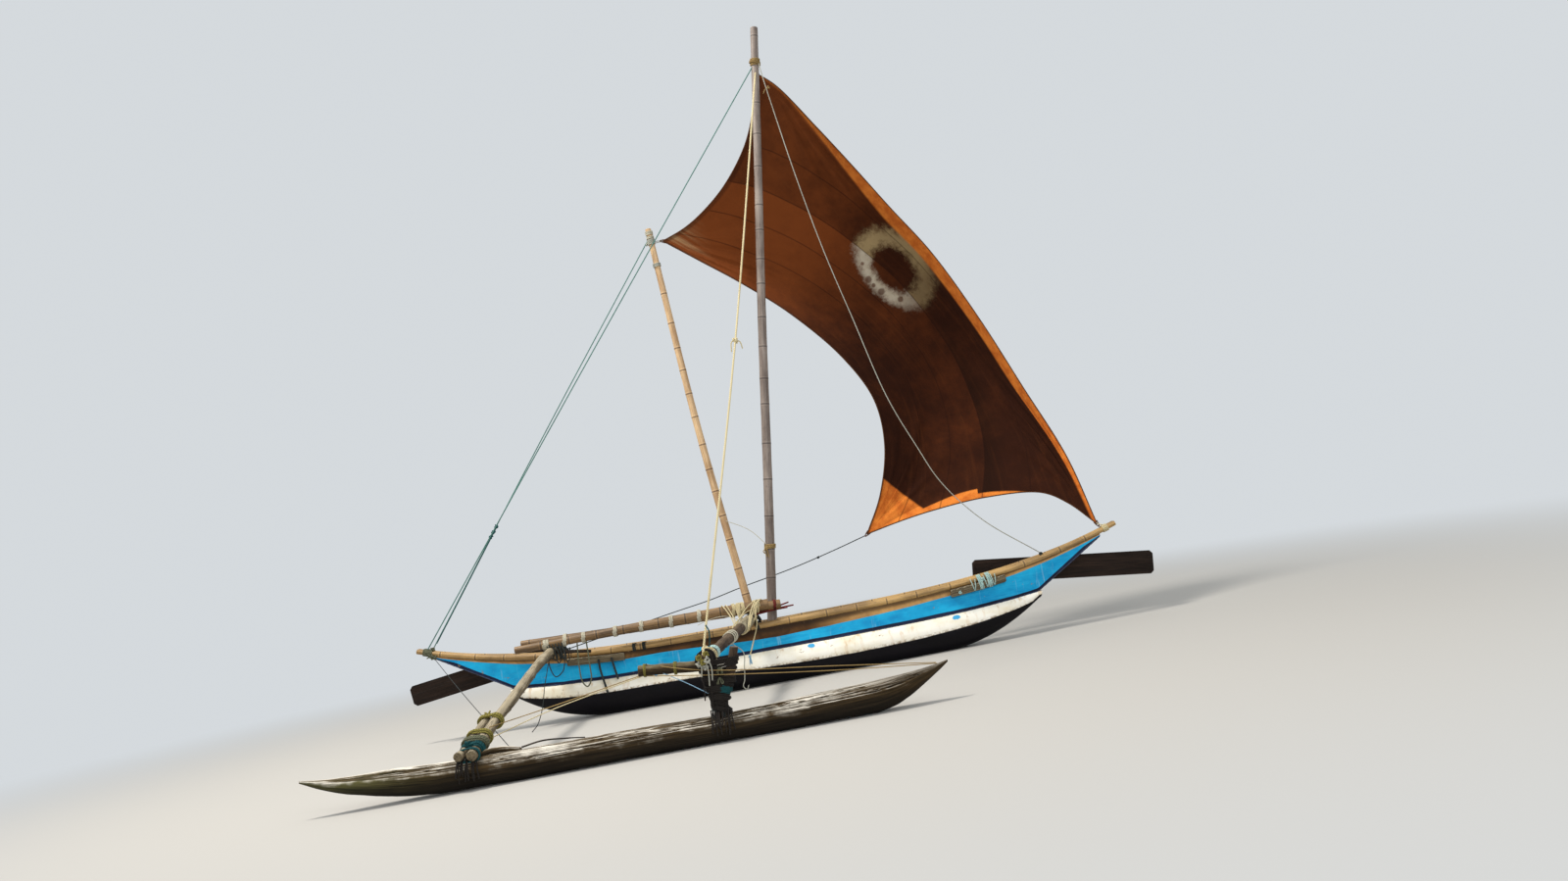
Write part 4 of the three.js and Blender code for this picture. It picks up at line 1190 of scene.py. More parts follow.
# %% Spars, mast and sprit
SPAR_FRONT = [(-2.822, -0.404, 0.884), (-1.4, -0.335, 0.892), (-0.032, -0.272, 0.876)]
SPAR_BACK = [(-2.762, -0.326, 0.933), (-1.4, -0.228, 0.876), (0.1, -0.142, 0.848)]
MAST = [(-0.105, 0, 0.155), (-0.02, 0, 0.7), (0.175, 0, 2.0), (0.48, 0, 4.1), (0.76, 0, 5.9), (1.0, 0, 7.48)]
SPRIT_FOOT = (-0.248, 0.03, on_rail(BOW_BOOM_X) + BOOM_RADIUS + 0.0465)
SPRIT = [SPRIT_FOOT, (-0.462, 0.03, 2.9), (-0.632, 0.03, 5.34)]

for name, points, end_radius, seed in (("front", SPAR_FRONT, 0.06, 51), ("back", SPAR_BACK, 0.053, 53)):
    cane(points, 0.041, end_radius, seed).make(f"spar_{name}_cane", BROWN_BAMBOO, [f"spar_{name}"])

mast = cane(MAST, 0.056, 0.044, 55, shortest=0.28, longest=0.46, swell=0.04)
mast.tube([MAST[0], (-0.1, 0, 0.19)], 0.05, 16, "round")
mast.make("mast_cane", GREY_BAMBOO, ["mast"], "mast")
sprit = cane(SPRIT, 0.045, 0.0345, 57, shortest=0.24, longest=0.36, swell=0.06)
sprit.tube([SPRIT[0], (-0.251, 0.03, 0.875)], 0.042, 16, "round")
sprit.make("sprit_cane", YELLOW_BAMBOO, ["sprit"], "sprit")

# %% [markdown]
# ## The sail
# A four-cornered cloth hangs between the masthead, the sprit's head, the bow tip and a sheet. A
# Coons patch fills four edge curves: the two side edges mixed across, plus the two others mixed
# down, less the corners counted twice. The belly is a product of two sine waves on top of it.
# %% The cloth
LUFF = [(0.93, 0.045, 6.955), (1.14, 0.124, 6.79), (1.515, 0.24, 6.275), (1.865, 0.32, 5.75),
        (2.22, 0.37, 5.18), (2.6, 0.39, 4.57), (2.985, 0.36, 3.72), (3.33, 0.29, 2.79), (3.64, 0.17, 1.9),
        (3.79, 0.014, 1.075)]
LEECH = [(-0.49, 0.084, 5.185), (-0.083, 0.15, 4.874), (0.294, 0.19, 4.58), (0.822, 0.23, 4.105),
         (1.323, 0.26, 3.499), (1.59, 0.26, 2.954), (1.614, 0.24, 2.419), (1.448, 0.19, 1.847),
         (1.212, 0.13, 1.432)]
HEAD = [(-0.49, 0.084, 5.185), (-0.21, 0.11, 5.303), (0.046, 0.116, 5.468), (0.341, 0.112, 5.731),
        (0.64, 0.096, 6.13), (0.81, 0.078, 6.52), (0.93, 0.045, 6.955)]
FOOT = [(1.212, 0.13, 1.432), (1.594, 0.16, 1.505), (2.005, 0.18, 1.562), (2.642, 0.17, 1.6),
        (3.261, 0.11, 1.538), (3.52, 0.06, 1.37), (3.79, 0.014, 1.075)]
BELLY = 0.7
CLOTH = 0.0024
SAIL_ROWS, SAIL_COLUMNS = 221, 141
SEAM_COURSE = (0.438, 1.06, -1.504, 0.505)
SEAMS = (-0.36, -0.18, 0.0, 0.2)
SAIL_FOLDS = [
    # corner's u and v, waves, height, reach
    (0, 0, 15, 0.020, 0.5), (1, 1, 19, 0.022, 0.45), (1, 0, 13, 0.030, 0.4), (0, 1, 15, 0.016, 0.4),
]


def sail_points(rows, columns):
    """The patch: u runs from the head edge to the foot, v from the leech to the luff."""
    u = np.linspace(0, 1, rows)[:, None, None]
    v = np.linspace(0, 1, columns)[None, :, None]
    luff, leech = curve(LUFF, rows)[:, None], curve(LEECH, rows)[:, None]
    head, foot = curve(HEAD, columns)[None], curve(FOOT, columns)[None]
    c = [head[:, :1], head[:, -1:], foot[:, :1], foot[:, -1:]]
    corners = c[0] * (1 - u) * (1 - v) + c[1] * (1 - u) * v + c[2] * u * (1 - v) + c[3] * u * v
    points = leech * (1 - v) + luff * v + head * (1 - u) + foot * u - corners
    points[..., 1] += BELLY * (np.sin(np.pi * u) ** 0.9 * np.sin(np.pi * v) ** 0.9)[..., 0]
    return points


def sail_pull(u, v):
    """Folds that run out from the pulled corners: waves of the angle round each corner that fade
    with the distance."""
    total = np.zeros(np.broadcast(u, v).shape)
    for corner_u, corner_v, waves, strength, reach in SAIL_FOLDS:
        du, dv = np.abs(u - corner_u), np.abs(v - corner_v)
        far = np.hypot(du, 0.7 * dv)
        angle = np.arctan2(dv, du + 1e-6)
        ripple = np.sin(waves * angle + 2.0 * far + corner_u) + 0.4 * np.sin(2.3 * waves * angle + 1)
        total = total + strength * ripple * ease(far, 0.0, 0.16) * (1 - ease(far, 0.12, reach))
    return total


def sail_cloth():
    """The patch with folds at the corners, slow waves, and a pucker of 4 mm along the sewn seams."""
    u = np.linspace(0, 1, SAIL_ROWS)[:, None]
    v = np.linspace(0, 1, SAIL_COLUMNS)[None]
    points = sail_points(SAIL_ROWS, SAIL_COLUMNS)
    edge = np.sin(np.pi * u) ** 0.5 * np.sin(np.pi * v) ** 0.5
    across = sail_pull(u, v) + 0.012 * edge * wobble(points, 61, 0.9)
    course = sum(share * u ** power for power, share in enumerate(SEAM_COURSE))
    at_seam = sum(bell(v - course, seam, 0.016) for seam in SEAMS)
    pucker = 0.004 * edge * at_seam * np.sin(2 * np.pi * u * 90 + 7 * np.sin(9 * u))
    points[..., 1] += across * edge ** 0.3 + pucker
    down = distance_along(points[:, SAIL_COLUMNS // 2])
    wide = distance_along(points[SAIL_ROWS // 2])
    uv, run = stacked(wide, down[:, None]), stacked(u, v, 0)
    return points, Shape().grid(points, (False, False), uv, run, flip=False)


BLEACHED_AT = (2.205, 0, 4.555)
BLEACH_SPOTS = [(1.84, 4.706, 0.022), (1.885, 4.51, 0.05), (2.015, 4.337, 0.052), (2.23, 4.202, 0.04),
                (1.935, 4.43, 0.03)]


def sunlit_edges(w, down, across):
    """Painted sunlight on the cloth, in orange: a strip inside the luff, the clew's corner and part of
    the foot."""
    width = w.span(down, 0.04, 0.36, 0.1, 1.0) * w.span(down, 1.0, 0.7, 0.3, 1.0)
    luff = across - (1.0 - width * 0.095)
    corner = down - (0.853 + across * 0.53)
    before = w.span(across, 0.15, 0.43, 0.99, 0.974)
    after = w.span(across, 0.485, 0.8, 0.986, 1.003)
    past_seam = across > 0.485
    foot = down - (past_seam * after + (1.0 - past_seam) * before)
    lit = w.most(w.span(luff, -0.008, 0.014), w.span(corner, 0.0, 0.007))
    return w.most(lit, w.span(foot, 0.0, 0.004))


def bleached_ring(w, place):
    """A ring stretched along the luff, with a ragged edge and a few dark spots left in it."""
    off = w.vector("SUBTRACT", place, BLEACHED_AT)
    long_way = w.vector("DOT_PRODUCT", off, (0.445, 0, -0.614))
    short_way = w.vector("DOT_PRODUCT", off, (1.069, 0, 0.775))
    rough = w.noise(place, (13, 13, 13), 6.0, 0.75) - 0.5
    ragged = w.math("SQRT", long_way * long_way + short_way * short_way) + rough * 0.24
    ring = w.span(ragged, 0.5, 0.35) * w.span(ragged, 0.2, 0.33)
    ring = ring * w.span(w.vector("DOT_PRODUCT", off, (0.7, 0, -0.7)), 0.1, 0.45, 1.0, 0.5)
    flat = w.scaled(place, (1, 0, 1))
    for x, z, size in BLEACH_SPOTS:
        near = w.vector("DISTANCE", flat, (x, 0, z)) + rough * 0.06
        ring = ring * w.span(near, 0.6 * size, 1.1 * size, 0.25, 1.0)
    return ring


def sail_finish():
    """Tanned cotton: panels of slightly different tones with seams between them, stains, pale streaks
    at the peak, one bleached ring, painted light and shade with a painted fold shadow, and painted sunlight
    on the edges on top."""
    material, w = new_material("sailcloth")
    place = w.place()
    down, across, _ = w.axes(w.run())
    blot = w.noise(place, (0.9, 1, 0.9), 6.0, 0.62, 0.5)
    mottle = w.noise(place, (6, 6, 6), 6.0, 0.68)
    streaks = w.noise(w.joined(across, down), (30, 3, 1), 4.0, 0.6)
    course = SEAM_COURSE[3]
    for share in SEAM_COURSE[2::-1]:
        course = course * down + share
    bent = across - course
    panel, seam_line = 0.0, 0.0
    for seam in SEAMS:
        panel = panel + (bent > seam)
        seam_line = w.most(seam_line, w.span(abs(bent - seam), 0.0044, 0.002))
    tone = blot * 0.25 + mottle * 0.15 + w.noise(w.joined(panel), (7.3, 1, 1), 0.0) * 0.08
    after = bent > 0.0
    # Painted light and shade: the cloth is lighter towards the head, and darker low down and past the middle
    # seam towards the luff.
    painted_light = w.span(down, 0.05, 0.62, 1.0, 0.1) * (1.0 - after * 0.42)
    # Painted shadow of a fold beside the middle seam, in the lower half.
    fold_shadow = after * w.span(bent, 0.13, 0.0) * w.span(down, 0.45, 0.8, 0.0, 0.6)
    cloth = w.mix(w.span(tone + painted_light * 0.3, 0.22, 0.56), 0x2b1207, 0x743a17)
    streaked = w.mix(w.span(streaks, 0.5, 0.75) * 0.12, cloth, 0x7a4320)
    streaked = w.mix(fold_shadow, streaked, 0x170903)
    peak = w.span(down + across * 0.7, 0.17, 0.02) * w.span(streaks, 0.4, 0.62)
    faded = w.mix(peak * 0.65, streaked, 0xb09068)

    whitened = w.mix(after, 0xbcb19c, 0x9e8860)
    whitened = w.mix(w.span(mottle, 0.35, 0.65, 0.0, 0.25), whitened, 0x8d7a5c)
    bleached = w.mix(bleached_ring(w, place) * 0.96, faded, whitened)
    lit = w.mix(w.span(mottle, 0.35, 0.65), 0xbb6022, 0xdb7f32)
    # Inside the painted sunlight, creases round the clew get painted shade, and the light dims towards the
    # head.
    round_clew = w.math("ARCTAN2", 1.0 - down, across)
    creases = w.noise(w.joined(round_clew), (13, 1, 1), 3.0, 0.6)
    lit = w.mix(w.span(creases, 0.56, 0.66) * w.span(across, 0.4, 0.3, 0.0, 0.6), lit, 0x6a2e0c)
    lit = w.mix(w.span(down, 0.4, 0.1, 0.0, 0.5), lit, 0x5a2c10)
    sun_painted = w.mix(sunlit_edges(w, down, across), bleached, lit)
    hem = w.most(w.span(down, 0.012, 0.006), w.span(across, 0.012, 0.006))
    sewn = w.most(seam_line, hem)
    base = w.mix(sewn * 0.5, sun_painted, 0x260f06)

    warp, weft = (w.math("SINE", metres * (2 * np.pi * 420)) for metres in w.uv()[:2])
    relief = warp * weft * 0.12 + (sewn * 1.4 + mottle)
    finish_surface(w, base, w.span(tone, 0.3, 0.7, 0.95, 0.8), relief, 0.4, 0.002, 0.12)
    return material


sail_grid, sail_shape = sail_cloth()
sail = sail_shape.make("sail_cloth", sail_finish(), ["sail"], "mast", blend=LUFF)
wall = sail.modifiers.new("cloth", "SOLIDIFY")
wall.thickness, wall.offset = CLOTH, 0.0
boltrope = Shape()
for edge in (sail_grid[0], sail_grid[-1], sail_grid[:, 0], sail_grid[:, -1]):
    boltrope.tube(edge, 0.0062, 8, "round")
INWARD = {0: 5, -1: -6}
for row, column in ((0, 0), (0, -1), (-1, 0), (-1, -1)):
    corner = sail_grid[row, column]
    out = unit(corner - sail_grid[INWARD[row], INWARD[column]]) * 0.035
    across = unit(np.cross(out, (0, 1, 0))) * 0.02
    boltrope.strand([corner - out - across, corner + across * -0.7, corner + out, corner + across * 0.7,
                     corner - out + across], 0.006, 24, 8)
sail_edge = boltrope.make("sail_boltrope", BROWN_ROPE, (), "mast", blend=LUFF)

diagonal = sail_grid[1:, 1:] - sail_grid[:-1, :-1]
other = sail_grid[1:, :-1] - sail_grid[:-1, 1:]
longest = max(distance_along(column)[-1] for column in sail_grid.transpose(1, 0, 2))

# %% [markdown]
# ## Steering boards
# Each board is a worn plank on a peg. Its mesh is a ring with a square section: it starts at the
# peg's hole, runs out over the front to the edge, and comes back over the other side to the hole.

# %% Steering boards
PEG_X, PEG_DROP, PEG_HOLE = 2.75, 0.052, 0.0188
PEG_Z = rail_z(PEG_X) - RAIL_RADIUS - PEG_DROP
BOARD_Y, BOARD_THICK, BOARD_SLOPE, BOARD_CLIP, BOARD_EDGE = 0.19, 0.028, np.radians(7.2), 0.034, 0.005
BOARD_POINTS, BOARD_ROWS = 480, 20


def board_outline(inner, outer, width):
    """The plank's clipped outline, as points evenly spaced along it."""
    low, clip = PEG_DROP - width / 2, BOARD_CLIP
    high = low + width
    corners = np.array([(outer, 0), (outer, high - clip), (outer - clip, high), (clip - inner, high),
                        (-inner, high - clip), (-inner, low), (outer - clip, low), (outer, low + clip),
                        (outer, 0)])
    return evenly(corners, BOARD_POINTS, True)


def steering_board(name, end, inner, outer, width):
    """Rings from the hole to the outline on each face, a little worn away by noise, turned to the
    board's slope on its peg."""
    rim = board_outline(inner, outer, width)
    inset = rim - BOARD_EDGE * unit(rim - (0, PEG_DROP))
    shares = np.r_[0, np.linspace(0.03, 1, BOARD_ROWS)][:, None, None]
    face = mix(PEG_HOLE * unit(rim)[None], inset[None], shares)
    wear = 0.0016 * (wobble(face * (1, 4), 71 + end, 0.35) - 1) * ease(shares[..., 0], 0, 0.2)
    front = stacked(face[..., 0], -wear, face[..., 1])
    back = stacked(face[..., 0], BOARD_THICK + wear, face[..., 1])[::-1]
    edges = [stacked(rim[:, 0], y, rim[:, 1])[None] for y in (BOARD_EDGE, BOARD_THICK - BOARD_EDGE)]
    points = np.concatenate([front, *edges, back])
    slope = BOARD_SLOPE * end
    x, y, z = end * points[..., 0], points[..., 1], points[..., 2]
    placed = stacked(end * PEG_X + x * np.cos(slope) + z * np.sin(slope), BOARD_Y + y,
                     PEG_Z - x * np.sin(slope) + z * np.cos(slope))
    Shape().grid(placed, (True, True), run=points[..., [1, 2, 0]]).make(
        f"board_{name}_plank", BOARD_TIMBER, [f"steering_board_{name}"], f"{name}_board")


steering_board("bow", 1, 0.435, 1.64, 0.265)
steering_board("stern", -1, 0.23, 1.43, 0.23)

# %% [markdown]
# ## Winding rope
# A lashing is one rope laid turn beside turn. Round two poles, it lies on the tight loop that a band
# makes. In each direction one pole reaches furthest, and the band lies on that pole there. Where
# two poles cross, the rope goes over the upper one, down past both, and under the lower one.

# %% Lashings
PITCH, LOOP_POINTS = 2.05, 40


def tight_loop(circles, gap):
    """The band round circles (x, y, radius), at a distance of gap, as points evenly spaced along it."""
    circles = np.asarray(circles, float)
    turn = np.linspace(0, 2 * np.pi, 721)
    way = np.stack([np.cos(turn), np.sin(turn)], 1)
    furthest = np.argmax(way @ circles[:, :2].T + circles[:, 2], axis=1)
    loop = circles[furthest, :2] + way * (circles[furthest, 2] + gap)[:, None]
    loop[-1] = loop[0]
    return evenly(loop, LOOP_POINTS, True)


def wind(shape, poles, axis, rope, turns, seed, layers=1, lean=0.0):
    """Winds rope round poles, each a (point, radius), that run along the axis. Upper layers have
    fewer turns."""
    axis = unit(np.asarray(axis, float))
    side = crosswise(axis)
    top = np.cross(axis, side)
    middle = np.mean([point for point, _ in poles], axis=0)
    off = [(np.subtract(point, middle), radius) for point, radius in poles]
    circles = [(place @ side, place @ top, radius) for place, radius in off]
    for layer in range(layers):
        loop = tight_loop(circles, rope * (1 + 1.75 * layer))
        steps = np.arange(int(LOOP_POINTS * (turns - layer)) + 1)
        spot = loop[steps % LOOP_POINTS]
        along = (steps / LOOP_POINTS - (turns - layer) / 2) * PITCH * rope * (-1) ** layer
        uneven = wobble(steps[:, None] / LOOP_POINTS, seed + layer, 1.7)
        along = along + 0.35 * rope * uneven + lean * spot[:, 0]
        path = middle + spot[:, :1] * side + spot[:, 1:] * top + along[:, None] * axis
        shape.tube(path, rope, 7, "round")
    return shape


def crossing(shape, contact, upper, lower, a, b, rope, turns, seed):
    """Square lashing of two crossing poles that touch at the contact. upper and lower are their
    directions, a and b their radii."""
    u, v = unit(np.asarray(upper, float)), unit(np.asarray(lower, float))
    h = unit(np.cross(u, v))
    h = h * np.sign(h[2])
    r, points = rope, []
    for turn in range(turns):
        out = 2.1 * r * turn
        past_b, past_a = b + r + out, a + r + out
        points += [(past_b, -(a + r), a), (past_b, 0, 2 * a + r), (past_b, a + r, a), (b + r, past_a, -b),
                   (0, past_a, -2 * b - r), (-(b + r), past_a, -b), (-past_b, a + r, a),
                   (-past_b, 0, 2 * a + r), (-past_b, -(a + r), a), (-(b + r), -past_a, -b),
                   (0, -past_a, -2 * b - r), (b + r, -past_a, -b)]
    local = curve(points, 100 * turns)
    local = local + 0.25 * r * wobble(local, seed, 0.08)[:, None]
    shape.tube(contact + local @ np.array([u, v, h]), r, 7, "round")


def turned_knot(shape, at, way, rope, size, seed):
    """A knot as a tangle: a rope that winds round itself, (cos 3t, sin 2t) across and a slow wave along."""
    way = unit(np.asarray(way, float))
    side = crosswise(way)
    top = np.cross(way, side)
    t = np.linspace(0, 2 * np.pi, 150)
    wide = size * (0.75 + 0.25 * np.cos(5 * t + seed))
    path = (np.asarray(at) + (wide * np.cos(3 * t + seed))[:, None] * side
            + (wide * np.sin(2 * t))[:, None] * top + (0.9 * size * np.sin(4 * t + 1))[:, None] * way)
    return shape.tube(path, rope, 7, "round")


def along_pole(points, value, axis=1):
    """The point of a pole's curve where the given axis has the given value, and its direction there."""
    path = curve(points, 600)
    i = np.clip(np.argmin(np.abs(path[:, axis] - value)), 1, len(path) - 2)
    return path[i], unit(path[i + 1] - path[i - 1])


def bind(shape, points, value, axis, radius, rope, turns, seed, layers=1):
    """Winds rope round one pole where the given axis has the given value, and gives that point."""
    point, way = along_pole(points, value, axis)
    wind(shape, [(point, radius)], way, rope, turns, seed, layers)
    return point


# %% Lashings at the tips, the booms and the masthead
TIP_X = 3.856
TIP_AT = (rail_y(TIP_X), rail_z(TIP_X))
TIP_ROUND = rail_radius(TIP_X)
HEAD_Z = 7.06
slope = (rail_z(TIP_X + 0.01) - rail_z(TIP_X - 0.01)) / 0.02
for name, end, material, turns in (("bow", 1, CREAM_ROPE, 5), ("stern", -1, OLIVE_ROPE, 8)):
    poles = [((end * TIP_X, side * TIP_AT[0], TIP_AT[1]), TIP_ROUND) for side in (1, -1)]
    wind(Shape(), poles, (1, 0, end * slope), 0.0062, turns, 81).make(
        f"tip_{name}_turns", material, [f"tip_lashing_{name}"])

for name, y, material in (("inner", -3.14, YELLOW_ROPE), ("outer", -3.56, OLIVE_ROPE)):
    point, way = along_pole(STERN_BOOM, y)
    poles = [(point, 0.05), (along_pole(SPLINT, y)[0], 0.043)]
    wind(Shape(), poles, way, 0.0062, 5, 83, 2, 0.12).make(
        f"boom_{name}_turns", material, [f"boom_lashing_{name}"])

head, head_way = along_pole(MAST, HEAD_Z, 2)
head_turns = wind(Shape(), [(head, 0.046)], head_way, 0.0066, 6, 87)
wind(head_turns, [(head + (-0.004, 0, -0.005), 0.058)], head_way + (0.2, 0, 0), 0.0048, 3, 88)
head_turns.make("masthead_turns", TAN_ROPE, ["masthead_lashing"], "mast")

# %% [markdown]
# ## Stays
# The stays run from the mast or the sprit to the hull.

# %% Stays
TIP_TOP = TIP_AT[1] + TIP_ROUND + 0.015
BACKSTAY = [(head[0], -0.02, 7.06), (-1.47, -0.024, 4.06), (-TIP_X, -0.028, TIP_TOP - 0.008)]
GUY = [(-0.624, 0.03, 5.25), (-2.24, 0.03, 3.15), (0.04 - TIP_X, 0.03, TIP_TOP - 0.02)]
SHROUD_KNOT = (0.13, -1.98, 3.53)
SHROUD = [(head[0] - 0.005, 0, 6.99), SHROUD_KNOT, (-0.588, -3.78, 0.716)]
for name, points, radius, material, body in (("backstay", BACKSTAY, 0.0065, GREEN_ROPE, "mast"),
                                             ("sprit_guy", GUY, 0.006, GREEN_ROPE, "sprit"),
                                             ("shroud", SHROUD, 0.0095, CREAM_ROPE, "mast")):
    Shape().strand(points, radius, 700, 8).make(f"{name}_rope", material, [name], body, blend=points)

GUY_KNOT_Z, GUY_DOUBLED_TO = 2.27, 1.1
guy = curve(GUY, 700)
guy_knot = guy[np.argmin(np.abs(guy[:, 2] - GUY_KNOT_Z))]
guy_way = unit(np.subtract(GUY[-1], guy_knot))
doubled = Shape()
for at in (0, 0.07, 0.13):
    turned_knot(doubled, guy_knot + at * guy_way, guy_way, 0.006, 0.017, 4 + 10 * at)
beside = guy[(guy[:, 2] < GUY_KNOT_Z) & (guy[:, 2] > GUY_DOUBLED_TO)] + (0.012, 0, 0.004)
doubled.tube(beside, 0.0055, 8, "round").make("guy_knots", TEAL_ROPE, (), "sprit", blend=GUY)

knot = turned_knot(Shape(), SHROUD_KNOT, (0.2, -0.5, -1), 0.008, 0.022, 1)
knot.strand([SHROUD_KNOT, (0.17, -1.98, 3.51), (0.185, -1.985, 3.44)], 0.006, 20)
knot.strand([SHROUD_KNOT, (0.09, -1.97, 3.52), (0.075, -1.97, 3.43)], 0.006, 20)
knot.make("shroud_knot", CREAM_ROPE, (), "mast", blend=SHROUD)

# %% [markdown]
# ## Sacking and small timber
# The bow boom is wrapped in old sacking where the spars rub on it. The wrap's radius steps up
# wherever a new turn of cloth begins, which gives the slanted edges.

# %% The sacking wrap
WRAP_FROM, WRAP_TO, WRAP_THICK, WRAP_SIDES = -0.226, -1.18, 0.0135, 48


def sacking_finish():
    """Coarse grey cloth: a plain weave from two waves, with soiled patches."""
    material, w = new_material("sacking")
    turn, along, _ = w.uv()
    weave = w.math("SINE", turn * (2 * np.pi * 110)) * w.math("SINE", along * (2 * np.pi * 260))
    soil_and_shade = w.noise(w.place(), (9, 9, 9), 5.0, 0.65)
    cloth = w.mix(w.span(soil_and_shade, 0.35, 0.65), 0x857a64, 0xc4b798)
    base = w.mix(w.span(weave, 0.2, -0.8) * 0.35, cloth, 0x3c382f)
    finish_surface(w, base, 0.95, weave * 0.5 + soil_and_shade, 0.7, 0.003, 0.15)
    return material


def boom_wrap():
    """A tube round the boom whose radius follows the turns of cloth, with creases from noise."""
    path = curve(BOW_BOOM, 900)
    path = path[(path[:, 1] < WRAP_FROM) & (path[:, 1] > WRAP_TO)][::2]
    along, turn = distance_along(path)[:, None], np.arange(WRAP_SIDES)[None] / WRAP_SIDES
    ramp = (along / 0.14 + turn + 0.05 * wobble(along, 91, 0.3)[:, None]) % 1.0
    spots = stacked(np.cos(2 * np.pi * turn) * 0.06, np.sin(2 * np.pi * turn) * 0.06, along)
    creases = 0.12 * wobble(spots * (1, 1, 0.6), 92, 0.06) + 0.1 * wobble(spots, 93, 0.15)
    lift = 0.45 + 0.4 * ease(ramp, 0.0, 0.06) * (1 - 0.75 * ramp) + creases
    ends = ease(along, -0.001, 0.02) * ease(along, along[-1] + 0.001, along[-1] - 0.02)
    radius = 0.0528 + WRAP_THICK * np.clip(lift * (0.35 + 0.65 * ends), 0.12, 1)
    wrap = Shape().tube(path, radius, WRAP_SIDES)
    wrap.make("boom_wrap_cloth", sacking_finish(), ["boom_wrap"], sharp=70)


boom_wrap()

# %% Branches and sticks
BRANCH = [(-2.5, -0.36, 0.8), (-2.36, -0.352, 0.782), (-2.2, -0.35, 0.758), (-2.02, -0.345, 0.728)]
TWIG = [(-2.19, -3.6, 0.242), (-2.02, -3.585, 0.262), (-1.83, -3.6, 0.249), (-1.66, -3.63, 0.231)]
BARK = timber("bark", 0x1c1512, 0x463a30, 0x6b6256, 0.35, 0.9)
RED_STICK = timber("red_stick", 0x4a1512, 0x86302a, 0x8d4a3e, 0.2, 0.3)
timber_pole(BRANCH, 0.026, 0.018, 101, 0.008, 16, knots=5, rough=0.16).make("bark_branch", BARK)
sticks = Shape()
for points in ([(-0.2, -0.2, 0.79), (0.09, -0.118, 0.806), (0.24, -0.085, 0.808)],
               [(-0.18, -0.215, 0.81), (0.06, -0.15, 0.83), (0.19, -0.12, 0.85)],
               [(-0.2, -0.235, 0.788), (0.02, -0.16, 0.798), (0.17, -0.14, 0.797)]):
    timber_pole(points, 0.013, 0.009, 103, 0.01, 10, sticks, knots=1, rough=0.08)
bind(sticks, SPAR_BACK, 0.035, 0, 0.0545, 0.003, 5, 107)
sticks.make("red_sticks", RED_STICK)
timber_pole(TWIG, 0.008, 0.005, 105, 0.012, 8, knots=2).make("twig", BARK)

# %% [markdown]
# ## Lashings and small ropes
# Poles that cross are lashed together in this way, and what hangs from the booms is old rope of all
# colours. Each colour's lashings are one piece.

# %% Black lashings and bristles at the fork and on the float
def rail_point(x, side, over=0.0):
    """A point over the rail's middle, by a share of its radius."""
    return np.array([x, side * rail_y(x), rail_z(x) + over * rail_radius(x)])


def rail_way(x, side):
    return rail_point(x + 0.02, side) - rail_point(x - 0.02, side)


def crook_at(z):
    """The points of the fork's stem and of its arm at a height."""
    return (along_pole(points, z, 2)[0] for points in (FORK_STEM, FORK_ARM))


ties = Shape()
for y, turns in ((-3.62, 5), (-3.74, 4)):
    bind(ties, BOW_BOOM, y, 1, 0.052, 0.0065, turns, 117, 2)
for z, turns in ((0.26, 4), (0.36, 5), (0.43, 5), (0.51, 4), (0.58, 4)):
    point, way = along_pole(FORK_STEM, z, 2)
    poles = [(point, 0.055), (point + (0.03, 0, 0), 0.042)]
    wind(ties, poles, way, 0.0065, turns, int(1000 * z), 2, 0.3)
draw = np.random.default_rng(143)
for z in (0.455, 0.505, 0.555, 0.6, 0.645):
    stem, arm = crook_at(z)
    wind(ties, [(stem, 0.048), (arm, 0.044)], (0.1, 0, 1), draw.uniform(0.005, 0.007), draw.integers(2, 5),
         int(1000 * z), 1, draw.uniform(-0.25, 0.25))
for z in draw.uniform(0.4, 0.62, 9):
    side, drop = draw.uniform(-0.07, 0.06), draw.uniform(0.08, 0.22)
    hang = along_pole(FORK_STEM, z, 2)[0] + (side, -0.05, 0)
    ties.strand([hang + (0, 0.01, 0.02), hang + (0.01, -0.018, -0.3 * drop),
                 hang + (0.02 * side, -0.01, -drop)], draw.uniform(0.004, 0.0065), 20, 6)
for low_x, high_x, count in ((-0.61, -0.44, 15), (-2.68, -2.5, 13)):
    for x in draw.uniform(low_x, high_x, count):
        slant, foot = draw.uniform(-0.03, 0.03), draw.uniform(0.06, 0.15)
        ties.strand([(x, FLOAT_Y - 0.03, 0.262), (x + 0.3 * slant, FLOAT_Y - 0.09, 0.235),
                     (x + 0.7 * slant, FLOAT_Y - 0.133, 0.17), (x + slant, FLOAT_Y - 0.139, foot)],
                    draw.uniform(0.004, 0.007), 20, 6)
ties.make("lashings_black", BLACK_ROPE)

# %% Dark lashings of the booms to the rails
ties = Shape()
for boom, seed in ((STERN_BOOM, 111), (BOW_BOOM, 113)):
    for side in (1, -1):
        point, way = along_pole(boom, side * rail_y(boom[1][0]))
        x = point[0]
        crossing(ties, rail_point(x, side, 1), way, rail_way(x, side), 0.052, rail_radius(x), 0.0055, 4, seed)
for x in (-1.57, -1.46):
    wind(ties, [(rail_point(x, -1), rail_radius(x))], rail_way(x, -1), 0.006, 3, 115)
for k, x in enumerate(np.linspace(-2.47, -2.31, 6)):
    front, low = along_pole(SPAR_FRONT, x, 0)[0], 0.73 - 0.03 * (k % 3)
    ties.strand([front + (0, -0.045, -0.01), front + (0.01, -0.05, -0.06), (x + 0.03, -0.41, low),
                 (x + 0.05, -0.37, low + 0.02), (x + 0.04, -0.36, 0.8)], 0.0065, 24)
